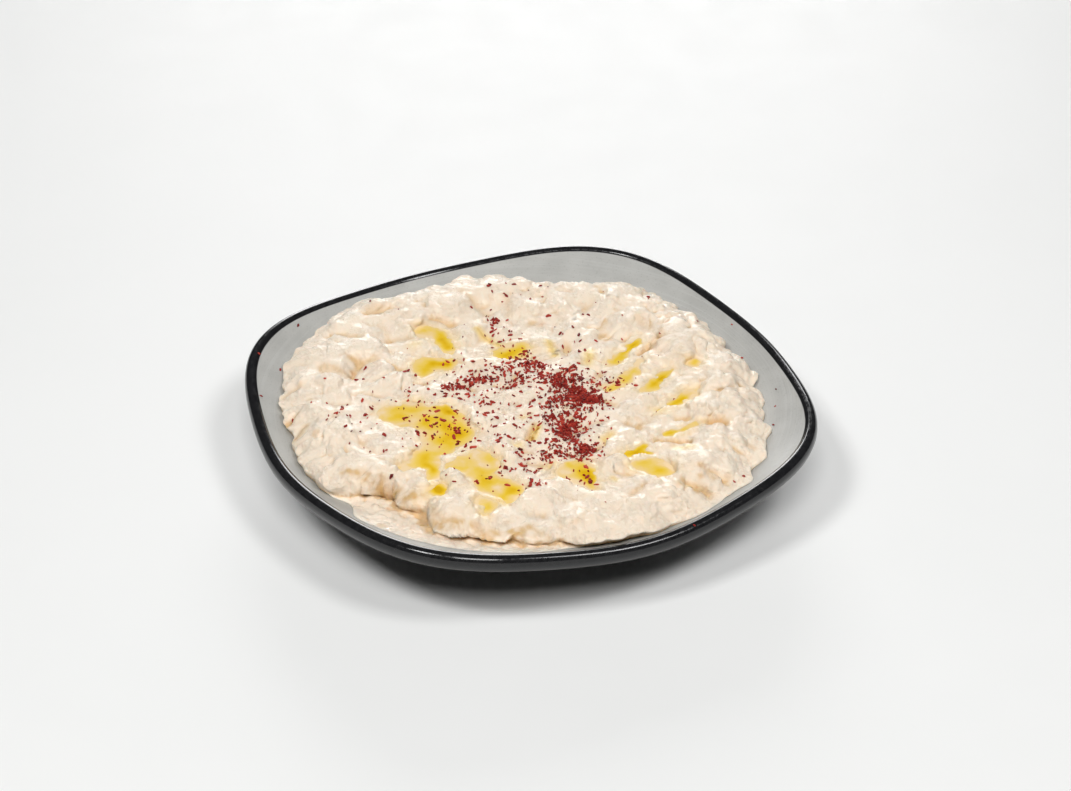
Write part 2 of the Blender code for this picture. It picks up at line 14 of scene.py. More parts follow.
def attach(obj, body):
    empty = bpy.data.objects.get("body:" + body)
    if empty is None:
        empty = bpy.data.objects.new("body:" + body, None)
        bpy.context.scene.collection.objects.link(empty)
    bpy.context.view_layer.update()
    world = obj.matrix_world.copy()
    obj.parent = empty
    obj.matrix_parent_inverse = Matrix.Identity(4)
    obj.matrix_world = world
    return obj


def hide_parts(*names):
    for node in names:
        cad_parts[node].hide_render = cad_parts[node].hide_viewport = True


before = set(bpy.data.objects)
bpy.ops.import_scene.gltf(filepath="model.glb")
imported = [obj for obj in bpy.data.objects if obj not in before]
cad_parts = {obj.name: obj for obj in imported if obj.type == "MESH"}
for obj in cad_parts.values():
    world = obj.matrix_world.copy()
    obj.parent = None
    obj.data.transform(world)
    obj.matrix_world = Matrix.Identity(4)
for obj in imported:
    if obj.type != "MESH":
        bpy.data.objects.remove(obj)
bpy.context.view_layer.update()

MM = 0.001

# The dish, as in the part.
DISH_RADIUS = 90 * MM
SQUARENESS = 0.0375
CORNER_ROUNDING = 0.0087
RIM_HEIGHT = 25.5 * MM
RIM_WAVE = 1.9 * MM
MOULDING_POWER = 1.6
WELL_DEPTH = 18 * MM
WELL_POWER = 2.8
WALL = 4 * MM
LIP_WIDTH = 3.8 * MM
LIP_CREST = 0.7 * MM
LIP_DRAFT = 0.5 * MM
LIP_FACE = 5.2 * MM
FOOT_RADIUS = 44 * MM
FOOT_WIDTH = 4 * MM
FOOT_FLARE = 1 * MM
DISH_STEPS = 288
INSIDE_ROWS = 46
PLACING_STEPS = 6

# The hummus's edge: direction in degrees, width in degrees and how far out in mm.
MEAN_OUTLINE = 81 * MM
OUTLINE_BAYS = [
    (2, 12, -1.5), (56, 11, -7.0), (88, 6, -3.0), (107, 7, 2.0), (130, 20, 2.5), (167, 4, -2.5), (185, 6, -1.5),
    (208, 8, -12.0), (237, 6, -4.5), (258, 8, 1.0), (312, 12, 1.5), (333, 7, -1.0), (201, 5, -6.0),
    (217, 4.5, -6.0), (229, 4, -4.0),
]
# Its finer course: direction in degrees and change in mm.
EDGE_TRIM = [
    (0, -4.5), (7, -3.8), (12, -1.9), (16, -0.5), (21, -2.0), (26, -1.5), (32, -0.6), (37, 2.8), (42, 0.2),
    (45, -2.4), (48, 2.2), (52, 0.8), (58, 1.3), (61, -0.8), (65, -2.2), (69, -0.4), (72, -0.4), (75, -0.8),
    (79, 1.8), (84, -0.8), (88, 2.8), (93, 1.0), (98, 0.0), (104, 0.4), (108, -0.2), (115, 1.6), (126, 2.6),
    (136, 3.0), (145, 1.4), (152, 1.4), (165, 1.2), (180, 0.0), (191, 3.2), (198, 3.0), (203, 0.5), (208, 2.2),
    (217, 2.2), (225, 1.3), (229, 0.8), (235, 1.8), (239, 2.8), (245, 1.4), (252, 1.0), (258, 3.8), (266, 3.6),
    (276, 4.0), (285, 4.2), (300, 3.6), (312, 1.0), (325, -1.2), (335, -2.4), (341, -3.6), (346, 0.2),
    (351, -2.0), (356, -5.0),
]
LOBE_SIZE, LOBE_HEIGHT = 9 * MM, 1.8 * MM
SMALL_LOBE_SIZE, SMALL_LOBE_HEIGHT = 5.2 * MM, 0.22 * MM

# The hummus's main form, as in the part.
BED_GAP = 0.06 * MM  # the real dip touches the dish
PLATEAU = 0.6 * MM
RING_RISE, RING_PLACE, RING_WIDTH = 1.9 * MM, 0.80, 0.13
MOUND_RISE, MOUND_WIDTH = 0.9 * MM, 0.25
LUMP_SIZE, LUMP_HEIGHT = 11 * MM, 0.9 * MM
SHOULDER = 11 * MM
SHOULDER_POWER = 2.2
SMEAR = (191, 258, 16)  # the directions in degrees between which it is, and degrees over which it fades
SMEAR_RADIUS, SMEAR_FOOT = 88.2 * MM, 68 * MM
SMEAR_THICKNESS = (3.4 * MM, 0.9 * MM)
SMEAR_ROUNDING = 24

# How the edge's slope differs from the part's.
SHOULDER_EVENING = 9  # degrees over which the top's edge evens out the bays of the foot
LEAST_SLOPE = 5 * MM
STEEPNESS = (0.40, 0.36)  # of the foot of the hummus, elsewhere and over the smear
LEDGE_POWER = 3.0  # how much fuller the shoulder is over the ledges
CLIFF = (184, 275, 12)  # where it is so, given in the same way
GENTLE = (268, 352, 14)  # where the edge slopes gently
GENTLE_START = 0.74  # as a share of the way to the edge
GENTLE_WIDTH, GENTLE_FOOT = 0.45, 0.26  # how much wider the slope is there, and less steep its foot
OVERHANG = 0.7 * MM
LOBE_SPACING = 7 * MM
# Where the hummus hangs over further: direction and width in degrees, reach in mm.
LEDGES = [
    (188, 5, 0.8), (201, 6, 2.6), (212, 4, 1.4), (229, 5, 2.2), (239, 6, 2.6), (252, 6, 2.0), (266, 5, 1.2),
    (290, 6, 1.4), (318, 8, 0.6),
]
BULGE_STEEP, BULGE_FREE = 0.35, 1.8 * MM  # the tilt and the height over the dish where bulges are full
TOP_KNEE = 28.3 * MM  # the height from which the lumps are pressed down to the part's own height
TOP_ROOM = 1.3 * MM

# The relief. Noise of several sizes is given as size in mm, height in mm and the noise's shift.
CREASE_SOFTNESS = 0.12
BEND_SIZE, BEND_REACH = 11 * MM, 2.2 * MM
SOFT_SWELLS = [(8.5, 0.95, 5.5), (4.4, 0.36, 2.2)]
FINE_SWELLS = [(2.3, 0.09, 9.1)]
CLUMPS = [(9.5, 1.45, 5.9), (4.8, 0.48, 2.9), (2.4, 0.12, 9.7)]
SLOPE_LUMPS = [(6.0, 1.15, 24.6)]
BULGES = [(6.6, 1.5, 8.8), (3.4, 0.45, 1.1)]
SMEAR_SWELLS = [(2.6, 0.55, 27.4)]
SMEAR_LUMPS = [(4.4, 0.7, 18.2)]
SHORE_SWELLS, SHORE_CREEP = [(4.2, 0.75, 12.7), (1.9, 0.35, 15.1)], 0.45
GRIT_SIZE = 1.3 * MM
ROUGH_PATCHES = 17 * MM
EDGE_START, EDGE_FADE = 0.72, 0.2  # the edge is rougher than the middle
FOOT_START, FOOT_FADE = 0.92, 0.06  # and calmer at its foot
TORN_PATCHES = 9 * MM
TEAR_SPACING, TEAR_DEPTH, TEAR_WIDTH = 10 * MM, 0.5, 0.15
STREAK_TURN = math.radians(33)
STREAK_SPACING, STREAK_STRETCH, STREAK_HEIGHT = 6.5 * MM, 5, 0.9
STREAKS_START, STREAKS_FADE = 12 * MM, 18 * MM

# Marks of the spoon: both ends in mm from the middle, then half-width and height in mm.
SPOON_MARKS = [
    (-79, 13, -74, 15, 2.5, -1.5), (-80, 22, -74, 23, 1.8, -3.0), (-73, 36, -67, 37, 2.5, -1.2),
    (-56, 43, -49, 35, 2.5, -1.4), (-49, 35, -44, 41, 2.2, -1.2), (-38, 55, -32, 52, 3.0, -1.0),
    (-27, 59, -28, 50, 2.2, -1.0), (-28, 50, -21, 48, 2.5, -1.2), (-9, 56, -5, 52, 2.5, -1.2),
    (-27, 70, -21, 68, 3.5, -1.2), (10, 52, 7, 65, 3.0, -1.2), (20, 57, 16, 47, 2.5, -0.9),
    (45, 5, 58, 12, 2.0, -1.3), (60, 16, 65, 19, 1.8, -1.0), (39, 19, 40, 20, 3.0, -1.4),
    (54, 23, 55, 18, 3.5, -1.0), (-62, -3, -61, -17, 2.2, -0.8), (-30, -25, -26, -30, 3.2, -1.3),
    (-46, -51, -45, -50, 3.0, -1.0), (-31, -64, -27, -66, 3.0, -0.9), (26, -45, 34, -49, 2.0, -1.6),
    (47, -44, 49, -45, 4.2, -2.2), (37, -35, 40, -38, 2.2, -1.0), (21, -69, 26, -75, 2.0, -1.8),
    (30, -69, 36, -72, 2.0, -1.1), (51, -59, 52, -60, 2.4, -1.2), (2, -69, 8, -66, 2.2, -1.4),
    (-12, -24, -7, -19, 1.6, -1.8), (23, -3, 27, 0, 2.2, -1.2), (-58, -7, -50, -16, 4.0, 1.0),
    (-44, -23, -45, -31, 2.0, 1.1), (-38, 49, -36, 50, 4.0, 1.2), (-3, 67, -8, 58, 2.0, 1.3),
    (-73, 15, -72, 19, 3.0, 1.0), (34, -21, 48, -11, 2.4, 1.1), (36, -8, 47, 2, 2.4, 1.0),
    (48, -36, 49, -38, 2.6, 1.2), (42, -57, 40, -62, 2.4, 1.1), (5, 69, 7, 68, 3.0, 1.0),
    (1, -50, 4, -60, 2.4, 0.9),
]
# Smaller marks, which only the looks have, given in the same way.
FINER_MARKS = [
    (-62, -28, -58, -22, 2.8, 0.6), (-56, -29, -57, -32, 4.0, -0.7), (-47, -43, -50, -49, 5.0, -1.0),
    (24, -44.8, 34, -49.2, 1.3, -1.2), (48.5, 6, 56, 9, 1.3, -1.0), (-11.3, -25.8, -6.6, -20.7, 0.9, -1.1),
    (45.5, -42.5, 46.5, -46.5, 1.8, -1.0), (37, -36.3, 41, -38.2, 1.2, -0.8),
]

# The meshes of the hummus and the oil.
GRID_CELLS = 292  # across the hummus
GRID_CROWDING = 1.35  # towards the edge
UNDERSIDE_RADII = [78, 66, 46, 22]  # mm
OIL_CELL = 0.42 * MM
OIL_REACH = 1.3 * MM  # how far the oil runs on under its shore
OIL_SLAB = 2.4 * MM
OIL_WAVE = 0.04 * MM

# The oil: a name, the level over the mean rim in mm, and the outline's points in mm from the middle.
OIL_POOLS = [
    ("oil_left", 0.4, [(-50, 11.5), (-44, 13), (-36.5, 11.5), (-33, 7), (-26, 3.5), (-26, -7), (-28, -16),
        (-37, -20), (-43, -20.5), (-45.5, -29), (-50.5, -32), (-50, -24.5), (-57.5, -21), (-50, -17),
        (-44.5, -12), (-41.5, -3), (-47, 1.5)]),
    ("oil_left_drop", 0.5, [(-53.5, -38), (-51, -34), (-48, -35.5), (-48.5, -39), (-51, -40.5)]),
    ("oil_front_left", 0.5, [(-43, -28), (-34, -23.5), (-27, -26.5), (-27.5, -34), (-30.5, -39), (-25.5, -47),
        (-28, -51.5), (-35, -53), (-38.5, -43), (-38.5, -33)]),
    ("oil_front_drip", 0.8, [(-41.5, -48.5), (-38, -49), (-38, -53.5), (-43, -57), (-42, -52.5)]),
    ("oil_back_left", 0.5, [(-17, 52), (-13, 53.5), (-9, 48), (-8.5, 40.5), (-11.5, 34), (-14.5, 36),
        (-14.5, 44), (-18, 47.5)]),
    ("oil_mid_left", 0.5, [(-28, 30), (-25, 34.5), (-20, 34.5), (-14, 30), (-14.5, 25.5), (-21.5, 25),
        (-27.5, 24.5)]),
    ("oil_middle", 0.5, [(0.5, 22), (1.5, 28.5), (10, 29.5), (13.5, 27), (11, 22), (5, 20)]),
    ("oil_front", 0.6, [(-12.5, -45), (-7, -42.5), (-2, -44.5), (-0.5, -49.5), (-3, -56), (-6.5, -60.5),
        (-9, -55), (-12.5, -48.5)]),
    ("oil_groove_back", 0.3, [(31.5, 2), (35, 6.5), (41, 9.5), (49.5, 13.7), (47, 9.5), (39, 5.5), (35.5, 2)]),
    ("oil_groove_middle", 0.3, [(23.5, -6.5), (26, -11), (33.5, -10), (40.5, -4), (43.5, 1), (37, -2),
        (30, -6.5)]),
    ("oil_groove_right", 0.3, [(35, -15.5), (41, -15.8), (50.5, -9.3), (43, -10.5)]),
    ("oil_groove_front", 0.4, [(33.5, -28.8), (41, -29.5), (47, -27.3), (52.5, -23), (44, -24.3)]),
    ("oil_front_right", 0.6, [(28.5, -42.7), (31, -41), (35, -41.6), (41, -41.2), (37, -43.4), (32.5, -44)]),
    ("oil_front_middle", 0.7, [(12, -46), (20.5, -45), (18.5, -47.5), (20.5, -50.5), (13, -49.5)]),
    ("oil_front_pale", 1.0, [(11.5, -53), (16.5, -52), (21.5, -58), (19.5, -63), (14, -62.5)]),
    ("oil_right", 0.6, [(56.5, -8.5), (60.5, -6.5), (60.5, -9.5), (57.5, -11.5)]),
]
LEVELLED = 3 * MM  # how far from a pool the hummus still keeps to its level
LIP_RISE, LIP_REACH, LIP_FALL = 0.22 * MM, 0.8 * MM, 1.6 * MM  # the low shore round a pool
HOLLOW_DEPTH = 1.5 * MM  # of the oil where a pool is wide
BOWL_SLOPE = 2.6 * MM  # how far from the shore it gets deep
BOWL_UNEVEN = (0.14, 1.7)  # its least and most depth, as shares of that
LEAST_OIL = 0.05 * MM
DEEPEST_OIL = 1.6  # mm, for its colour
# Where the oil is deeper: both ends and reach in mm, and how much more than elsewhere.
DEEP_SPOTS = [
    (-27, 1, -28.5, 5, 2.4, 1.2), (-48.5, -24, -47, -26, 2.2, 0.9), (-33, -12, -31, -6, 2.2, 0.15),
    (-50.5, -38, -51, -36, 2.6, 1.6), (-29, -48, -33, -50, 2.2, 0.8), (-29, -36, -28, -30, 2.0, 0.4),
    (-12, 38, -13, 42, 2.6, 0.8), (-20, 31, -16.5, 28, 1.6, 0.7), (4, 23.5, 9.5, 25, 2.8, 0.9),
    (37, 4.5, 45.5, 10.5, 2.6, 1.2), (26, -9.5, 29, -8.5, 2.2, 0.7), (40, -13.5, 44, -12, 2.6, 1.2),
    (36.5, -28.8, 43, -27.3, 3.0, 1.3), (31, -43, 35, -42, 2.6, 1.0), (12.8, -47.3, 18.5, -47.3, 3.6, 1.6),
    (-6, -57.5, -3, -52, 2.6, 0.8), (58.5, -8.8, 59.5, -8, 1.6, 0.5), (15, -56, 16.5, -60, 6.0, -0.22),
    (-41, -53, -41, -50, 2.0, 0.3),
]

# Shades of the hummus: painted brown shade in its hollows, grooves, folds and some pits, and its own browned, oily and
# stained spots.
HOLLOW_BLUR = 40  # rounds of averaging, which take away the lumps
# painted shade: the hummus is tinted brown where it lies under its blurred height
HOLLOW_START, HOLLOW_FADE, HOLLOW_SHADE = 0.08 * MM, 0.75 * MM, 0.75
OILY_REACH = 1.6 * MM
# Browned bits, and painted brown shade in some pits: place and reach in mm, and strength.
BROWNED_BITS_AND_PIT_SHADE = [
    (49, 5.5, 2.2, 0.45), (54, 8.5, 2.0, 0.4), (62, 15.5, 1.8, 0.35), (-47, 38, 1.3, 0.6), (-66, -34, 1.2, 0.5),
    (-48, -61, 1.2, 0.5), (46, -43, 1.6, 0.55), (23, 36, 1.6, 0.4), (29, -48.5, 2.6, 0.4), (47, -45, 3.2, 0.3),
    (39, 18, 2.0, 0.3), (33, -49, 1.8, 0.3),
]
# Thin oil soaked in: both ends and reach in mm, and strength.
OIL_STAINS = [
    (19, 17, 20, 24, 1.8, 0.7), (26.5, 7, 30, 12.5, 2.2, 0.7), (4, 31, 1.5, 42, 1.7, 0.75),
    (-11.3, -25.8, -6.5, -20.5, 1.35, 1.0), (10, -36, 13, -35, 1.8, 0.6), (28, -52.5, 32, -53.5, 1.8, 0.5),
    (1.8, -57.5, 2, -58.5, 1.2, 0.6), (-17, -26, -16, -26, 2.0, 0.45), (-13, -40, -12, -40, 2.2, 0.45),
    (-8, -13, -7, -13, 2.2, 0.4), (-22, 43, -21, 43, 2.6, 0.35),
]
# Brown shade in the folds under the edge's lobes: both ends and reach in mm, and strength.
SHADED_FOLDS = [
    (-73.5, -17, -69.5, -21, 2.6, 0.9), (-69.5, -21, -64.5, -26, 2.8, 1.0), (-64.5, -26, -62, -32, 2.6, 1.0),
    (-61, -35, -57.5, -38, 3.0, 1.0), (-57.5, -43, -58, -52, 2.4, 0.7), (-56.6, -55.2, -50.5, -59.7, 2.8, 1.0),
    (-49, -61.6, -47.4, -65.7, 2.4, 0.8), (-45.8, -65.8, -37.6, -70, 2.8, 1.0), (-34, -70, -32, -76, 2.4, 0.8),
    (20, -71, 26, -76, 2.2, 1.0), (27, -70, 34, -74, 2.2, 0.7), (28.5, -65.5, 32.5, -71, 2.0, 0.6),
    (24, -44.6, 34.5, -49.4, 1.5, 1.0), (37, -36.2, 41, -38.2, 1.3, 0.6), (23, -28.6, 26.5, -30.5, 1.2, 0.4),
    (45, -42.5, 46.6, -47, 2.6, 1.0), (48.5, 6, 56.5, 9.2, 1.5, 0.8), (38.5, 19.5, 40, 17, 1.8, 0.7),
    (42, -0.5, 42.4, -2.6, 1.0, 0.6), (62, 16.8, 64, 17.8, 1.6, 0.6),
]

# The sumac: where it fell thickest, as middle, spread along X and Y in mm, and share of the flakes.
SUMAC_DRIFTS = [
    (13, -2, 3.6, 4.2, 0.168), (13, -13.8, 3.8, 3.2, 0.126), (1.6, -38.5, 2.4, 2.4, 0.09),
    (-0.6, -28, 2.4, 2.4, 0.06), (6, -21, 3.8, 4.6, 0.075), (4.5, -11, 2.8, 3.4, 0.042),
    (-1, -18, 2.4, 2.6, 0.02), (7, 11, 3.0, 2.6, 0.052), (-1, 6, 3.5, 1.8, 0.03), (-15, 13, 5.0, 2.4, 0.034),
    (-21.5, 12.5, 1.8, 1.4, 0.016), (-4, 14.5, 5.4, 2.6, 0.046), (17.5, 6, 2.2, 2.2, 0.014),
    (-18.5, -36, 1.6, 5.0, 0.008), (-16, 0, 1.6, 1.6, 0.004), (10, 45.5, 1.1, 1.4, 0.014),
    (7, 36, 4.2, 4.2, 0.01), (11, 21, 2.4, 1.8, 0.011), (21, -6, 3.2, 4.0, 0.018), (30, -7, 2.4, 2.4, 0.01),
    (17, -17, 2.2, 2.0, 0.018), (-36, -8, 6.0, 6.0, 0.014), (-29, -8, 3.0, 2.4, 0.008),
    (-6, -53, 2.6, 3.8, 0.015), (-22.5, -50, 2.8, 1.2, 0.012), (-30, -38.5, 4.6, 1.4, 0.008),
    (-21, -22, 1.6, 3.6, 0.01), (-9.5, -34.5, 2.2, 2.2, 0.034), (-17, -34, 4.0, 4.0, 0.006),
    (-5, -37, 1.8, 1.8, 0.01), (23, 5, 2.6, 2.6, 0.004), (-62, 13, 2.6, 5.0, 0.012),
    (-12, -1, 21.0, 18.0, 0.165), (-44, 4, 13.0, 11.0, 0.022), (38, 32, 14.0, 10.0, 0.012),
    (20, 56, 9.0, 7.0, 0.008),
]
SUMAC_COUNT, DUST_COUNT = 1620, 600
SUMAC_SEED = 7
FLAKE_LENGTH, DUST_LENGTH = (0.9 * MM, 2.9 * MM), (0.35 * MM, 0.9 * MM)
FLAKE_WIDTH, DUST_WIDTH = (0.26, 0.58), (0.5, 0.9)  # as a share of the length
FLAKE_RARITY = 1.8  # a higher power makes long flakes rarer
DUST_WIDENING = 1.25
FLAKE_THICKNESS, DUST_THICKNESS, CRUMB_THICKNESS = 0.55 * MM, 0.3 * MM, 0.4 * MM
FLAKE_UNEVEN = (0.7, 1.4)  # least and most thickness, as shares of that
FLAKE_LIFT = 0.25  # of its thickness, over what it lies on
FLAKE_TILT, PILE_TILT = 0.22, 0.28  # of a flake on the hummus, and more for each layer under it
PILE_CELL, PILE_RISE, MOST_LAYERS = 1.3 * MM, 0.32 * MM, 5
# Single crumbs off the hummus: place, length in mm, turn and a number for the outline.
DISH_CRUMBS = [
    (-52, 74, 2.2, 0.4, 0.1), (-67, 54, 1.6, 0.3, 0.2), (-72, 60.5, 1.4, 1.2, 0.3), (-80, 39, 1.5, 1.5, 0.4),
    (75.5, -12, 1.2, 0.8, 0.5), (78, -31, 1.1, 0.5, 0.6), (73, -39, 1.2, 2.0, 0.7), (67, -48, 1.3, 1.0, 0.8),
    (85, 11, 1.1, 0.2, 0.9), (14, -89, 1.3, 1.7, 0.15), (-24.5, 74, 1.6, 0.6, 0.25), (73, 14.5, 1.6, 0.9, 0.35),
    (37, -74, 1.8, 0.7, 0.45), (41, -73, 1.5, 1.9, 0.55),
]

RINGS_PER_METRE = 2200.0  # in the grey glaze

VIEW_TURN = math.radians(26.617)  # the photograph looks along +Y turned by this
VIEW_TILT = math.radians(33.39)
VIEW_RANGE = 10.739 * DISH_RADIUS
VIEW_OFFSET = (-0.02915 * DISH_RADIUS, 0.00544 * DISH_RADIUS)
LIGHT_DISTANCE = 3.0


# ---- Meshes ----

def ease(value):
    """From 0 to 1 smoothly, and no further."""
    value = np.clip(value, 0, 1)
    return value * value * (3 - 2 * value)


def bell(away, reach):
    """1 at the middle of a soft dab, fading to nothing past its reach."""
    return np.exp(-((away / reach) ** 2))


def on_plan(x, y):
    return np.stack([x, y, np.zeros(x.shape)], -1)


def grain(points, size, shift=0.0):
    """Smooth noise from about -1 to 1 at each point, with swells of this size."""
    spots = points / size + shift
    return np.fromiter((noise.noise(spot) for spot in spots.tolist()), float, len(spots)) * 2


def billow(points, size, shift=0.0):
    """Rounded lumps of this size with creases between them, from 0 in a crease to about 1 on a lump."""
    return np.sqrt(grain(points, size, shift) ** 2 + CREASE_SOFTNESS) * 1.25


def swells(points, sizes):
    """Noise of several sizes together, each given as size in mm, height and the noise's shift."""
    return sum(height * grain(points, size * MM, shift) for size, height, shift in sizes)


def lumps(points, sizes, crease=0.5):
    """The same with rounded lumps, whose creases lie this far under 0."""
    return sum(height * (billow(points, size * MM, shift) - crease) for size, height, shift in sizes)


def add_object(name, data):
    thing = bpy.data.objects.new(name, data)
    bpy.context.scene.collection.objects.link(thing)
    return thing


def new_piece(name, points, faces, smooth=True):
    mesh = bpy.data.meshes.new(name)
    mesh.from_pydata(points, [], faces)
    if smooth:
        mesh.shade_smooth()
    return add_object(name, mesh)


def note(thing, name, values):
    """Stores a number for each of the mesh's points, which its material reads by this name."""
    layer = thing.data.attributes.new(name, "FLOAT", "POINT")
    filled = np.zeros(len(thing.data.vertices), np.float32)
    filled[:len(values)] = values
    layer.data.foreach_set("value", filled)


# ---- The dish's form ----

def moulding(radius):
    """How far the dish has gone from a round foot, 0, to its rounded-square rim, 1."""
    round_part = FOOT_RADIUS + FOOT_FLARE
    return np.clip((radius - round_part) / (DISH_RADIUS - round_part), 0, 1) ** MOULDING_POWER


def squared_by(radius, turn):
    corners = CORNER_ROUNDING * np.cos(8 * turn) - SQUARENESS * np.cos(4 * turn)
    return DISH_RADIUS * corners * moulding(radius)


def waved_by(radius, turn):
    return -RIM_WAVE * np.cos(4 * turn) * moulding(radius)


def well_height(radius):
    return RIM_HEIGHT - WELL_DEPTH * (1 - (radius / DISH_RADIUS) ** WELL_POWER)


def inside_height(x, y):
    turn = np.arctan2(y, x)
    plan_radius = np.hypot(x, y)
    radius = plan_radius
    for _ in range(PLACING_STEPS):
        radius = plan_radius - squared_by(radius, turn)
    return well_height(radius) + waved_by(radius, turn)


def bed_height(x, y):
    """Of the underside of the hummus."""
    return inside_height(x, y) + BED_GAP


def rounded(start, corner, end, steps):
    """Points on a curve from one place to another that bends round the corner between them."""
    line = []
    for t in (step / steps for step in range(steps + 1)):
        line.append([(1 - t) ** 2 * a + 2 * t * (1 - t) * b + t * t * c for a, b, c in zip(start, corner, end)])
    return line


def dish_section():
    """The dish's section from the middle of the inside, over the lip, to the middle of the foot."""
    inside_radii = np.linspace(0, DISH_RADIUS - 0.5 * MM, INSIDE_ROWS)
    inside = [[radius, well_height(radius)] for radius in inside_radii]
    out = DISH_RADIUS + LIP_WIDTH
    crest = RIM_HEIGHT + LIP_CREST
    middle = DISH_RADIUS + 0.42 * LIP_WIDTH
    lip_foot = RIM_HEIGHT - LIP_FACE
    lip = rounded((DISH_RADIUS, RIM_HEIGHT + 0.02 * MM), (DISH_RADIUS + 0.5 * MM, crest), (middle, crest), 5)
    lip += rounded((middle, crest), (out, crest), (out, RIM_HEIGHT - 2.3 * MM), 8)[1:]
    lip += rounded(
        (out - LIP_DRAFT, lip_foot + 1.2 * MM), (out - LIP_DRAFT, lip_foot),
        (84 * MM, well_height(84 * MM) - WALL), 6,
    )
    under = [[radius, well_height(radius) - WALL] for radius in np.linspace(82 * MM, FOOT_RADIUS + 3 * MM, 14)]
    foot_in = FOOT_RADIUS - FOOT_WIDTH
    foot = [
        (FOOT_RADIUS + FOOT_FLARE, well_height(FOOT_RADIUS) - WALL),
        (FOOT_RADIUS + 0.2 * MM, 0.5 * MM), (FOOT_RADIUS - 0.4 * MM, 0),
        (foot_in + 0.4 * MM, 0), (foot_in - 0.2 * MM, 0.5 * MM),
        (foot_in - LIP_DRAFT, well_height(foot_in) - WALL),
        (foot_in / 2, well_height(foot_in / 2) - WALL), (0, well_height(0) - WALL),
    ]
    return np.array([*inside, *lip, *under, *foot], float)


def make_dish():
    section = dish_section()
    rows, turns = len(section), np.arange(DISH_STEPS) * (2 * math.pi / DISH_STEPS)
    points = [(0, 0, section[0, 1])]
    for radius, height in section[1:-1]:
        plan = radius + squared_by(radius, turns)
        points += zip(plan * np.cos(turns), plan * np.sin(turns), height + waved_by(radius, turns))
    points.append((0, 0, section[-1, 1]))
    faces = []
    last = len(points) - 1
    for step in range(DISH_STEPS):
        after = (step + 1) % DISH_STEPS
        faces.append((0, 1 + step, 1 + after))
        for row in range(rows - 3):
            near, far = 1 + row * DISH_STEPS, 1 + (row + 1) * DISH_STEPS
            faces.append((near + step, far + step, far + after, near + after))
        end = 1 + (rows - 3) * DISH_STEPS
        faces.append((end + step, last, end + after))
    dish = new_piece("grey_and_black_dish", [tuple(map(float, point)) for point in points], faces)
    radii = np.concatenate([[0], np.repeat(section[1:-1, 0], DISH_STEPS), [0]])
    row_of = np.concatenate([[0], np.repeat(np.arange(1, rows - 1), DISH_STEPS), [rows - 1]])
    # 0 inside the dish, and growing over the lip's inner edge
    over_lip = np.clip((radii - DISH_RADIUS) / LIP_WIDTH, 0, 1)
    note(dish, "lip_place", np.where(row_of < INSIDE_ROWS, 0.0, 1.0) + over_lip)
    return dish


# ---- The hummus's form ----

def closed_curve(points, steps):
    """A smooth closed line through these places in mm."""
    line = []
    count = len(points)
    for index in range(count):
        before, start, end, after = (np.array(points[(index + shift) % count], float) for shift in (-1, 0, 1, 2))
        for t in (step / steps for step in range(steps)):
            line.append(
                0.5 * (2 * start + (end - before) * t + (2 * before - 5 * start + 4 * end - after) * t**2
                       + (3 * start - before - 3 * end + after) * t**3)
            )
    return np.array(line) * MM


POOLS = {name: (RIM_HEIGHT + level * MM, closed_curve(points, 6)) for name, level, points in OIL_POOLS}


def distance_to_stretch(x, y, x0, y0, x1, y1):
    """Distance from each point to the straight line between two places."""
    along_x, along_y = x1 - x0, y1 - y0
    to_x, to_y = x - x0, y - y0
    share = np.clip((to_x * along_x + to_y * along_y) / max(along_x**2 + along_y**2, 1e-12), 0, 1)
    return np.hypot(to_x - share * along_x, to_y - share * along_y)


def distance_to_line(x, y, line):
    """Distance to a closed line, less than 0 inside it."""
    nearest = np.full(x.shape, 1.0)
    inside = np.zeros(x.shape, bool)
    for (x0, y0), (x1, y1) in zip(line, np.roll(line, -1, axis=0)):
        nearest = np.minimum(nearest, distance_to_stretch(x, y, x0, y0, x1, y1))
        if y0 != y1:
            inside ^= ((y0 > y) != (y1 > y)) & (x - x0 < (x1 - x0) * (y - y0) / (y1 - y0))
    return np.where(inside, -nearest, nearest)


def dabs(x, y, marks):
    """Each mark's shape over the points. A mark is both its ends and its reach in mm, and its strength."""
    for *ends, reach, strength in marks:
        yield strength * bell(distance_to_stretch(x, y, *(MM * end for end in ends)), reach * MM)


def between(turn, first, last, fade):
    """1 between two directions in degrees, fading to 0 at them."""
    degrees = np.degrees(turn) % 360
    return ease((degrees - first) / fade) * ease((last - degrees) / fade)


# The edge, as tables over all directions.
DIRECTIONS = np.linspace(-math.pi, math.pi, 2881)
CIRCLE = np.stack([np.cos(DIRECTIONS), np.sin(DIRECTIONS), np.full(len(DIRECTIONS), 0.3)], -1)


def round_the_edge(start, dents):
    """The start with these added to it: direction in degrees, width in degrees and size in mm."""
    table = np.full(len(DIRECTIONS), float(start))
    for at, width, size in dents:
        table += size * MM * bell((np.degrees(DIRECTIONS) - at + 180) % 360 - 180, width)
    return table


def evened_out(table, degrees):
    step = math.degrees(DIRECTIONS[1] - DIRECTIONS[0])
    away = np.arange(-3 * degrees, 3 * degrees + step, step)
    weights = bell(away, degrees)
    side = len(away) // 2
    around = np.concatenate([table[-1 - side:-1], table, table[1:1 + side]])
    return np.convolve(around, weights / weights.sum(), "same")[side:side + len(DIRECTIONS)]


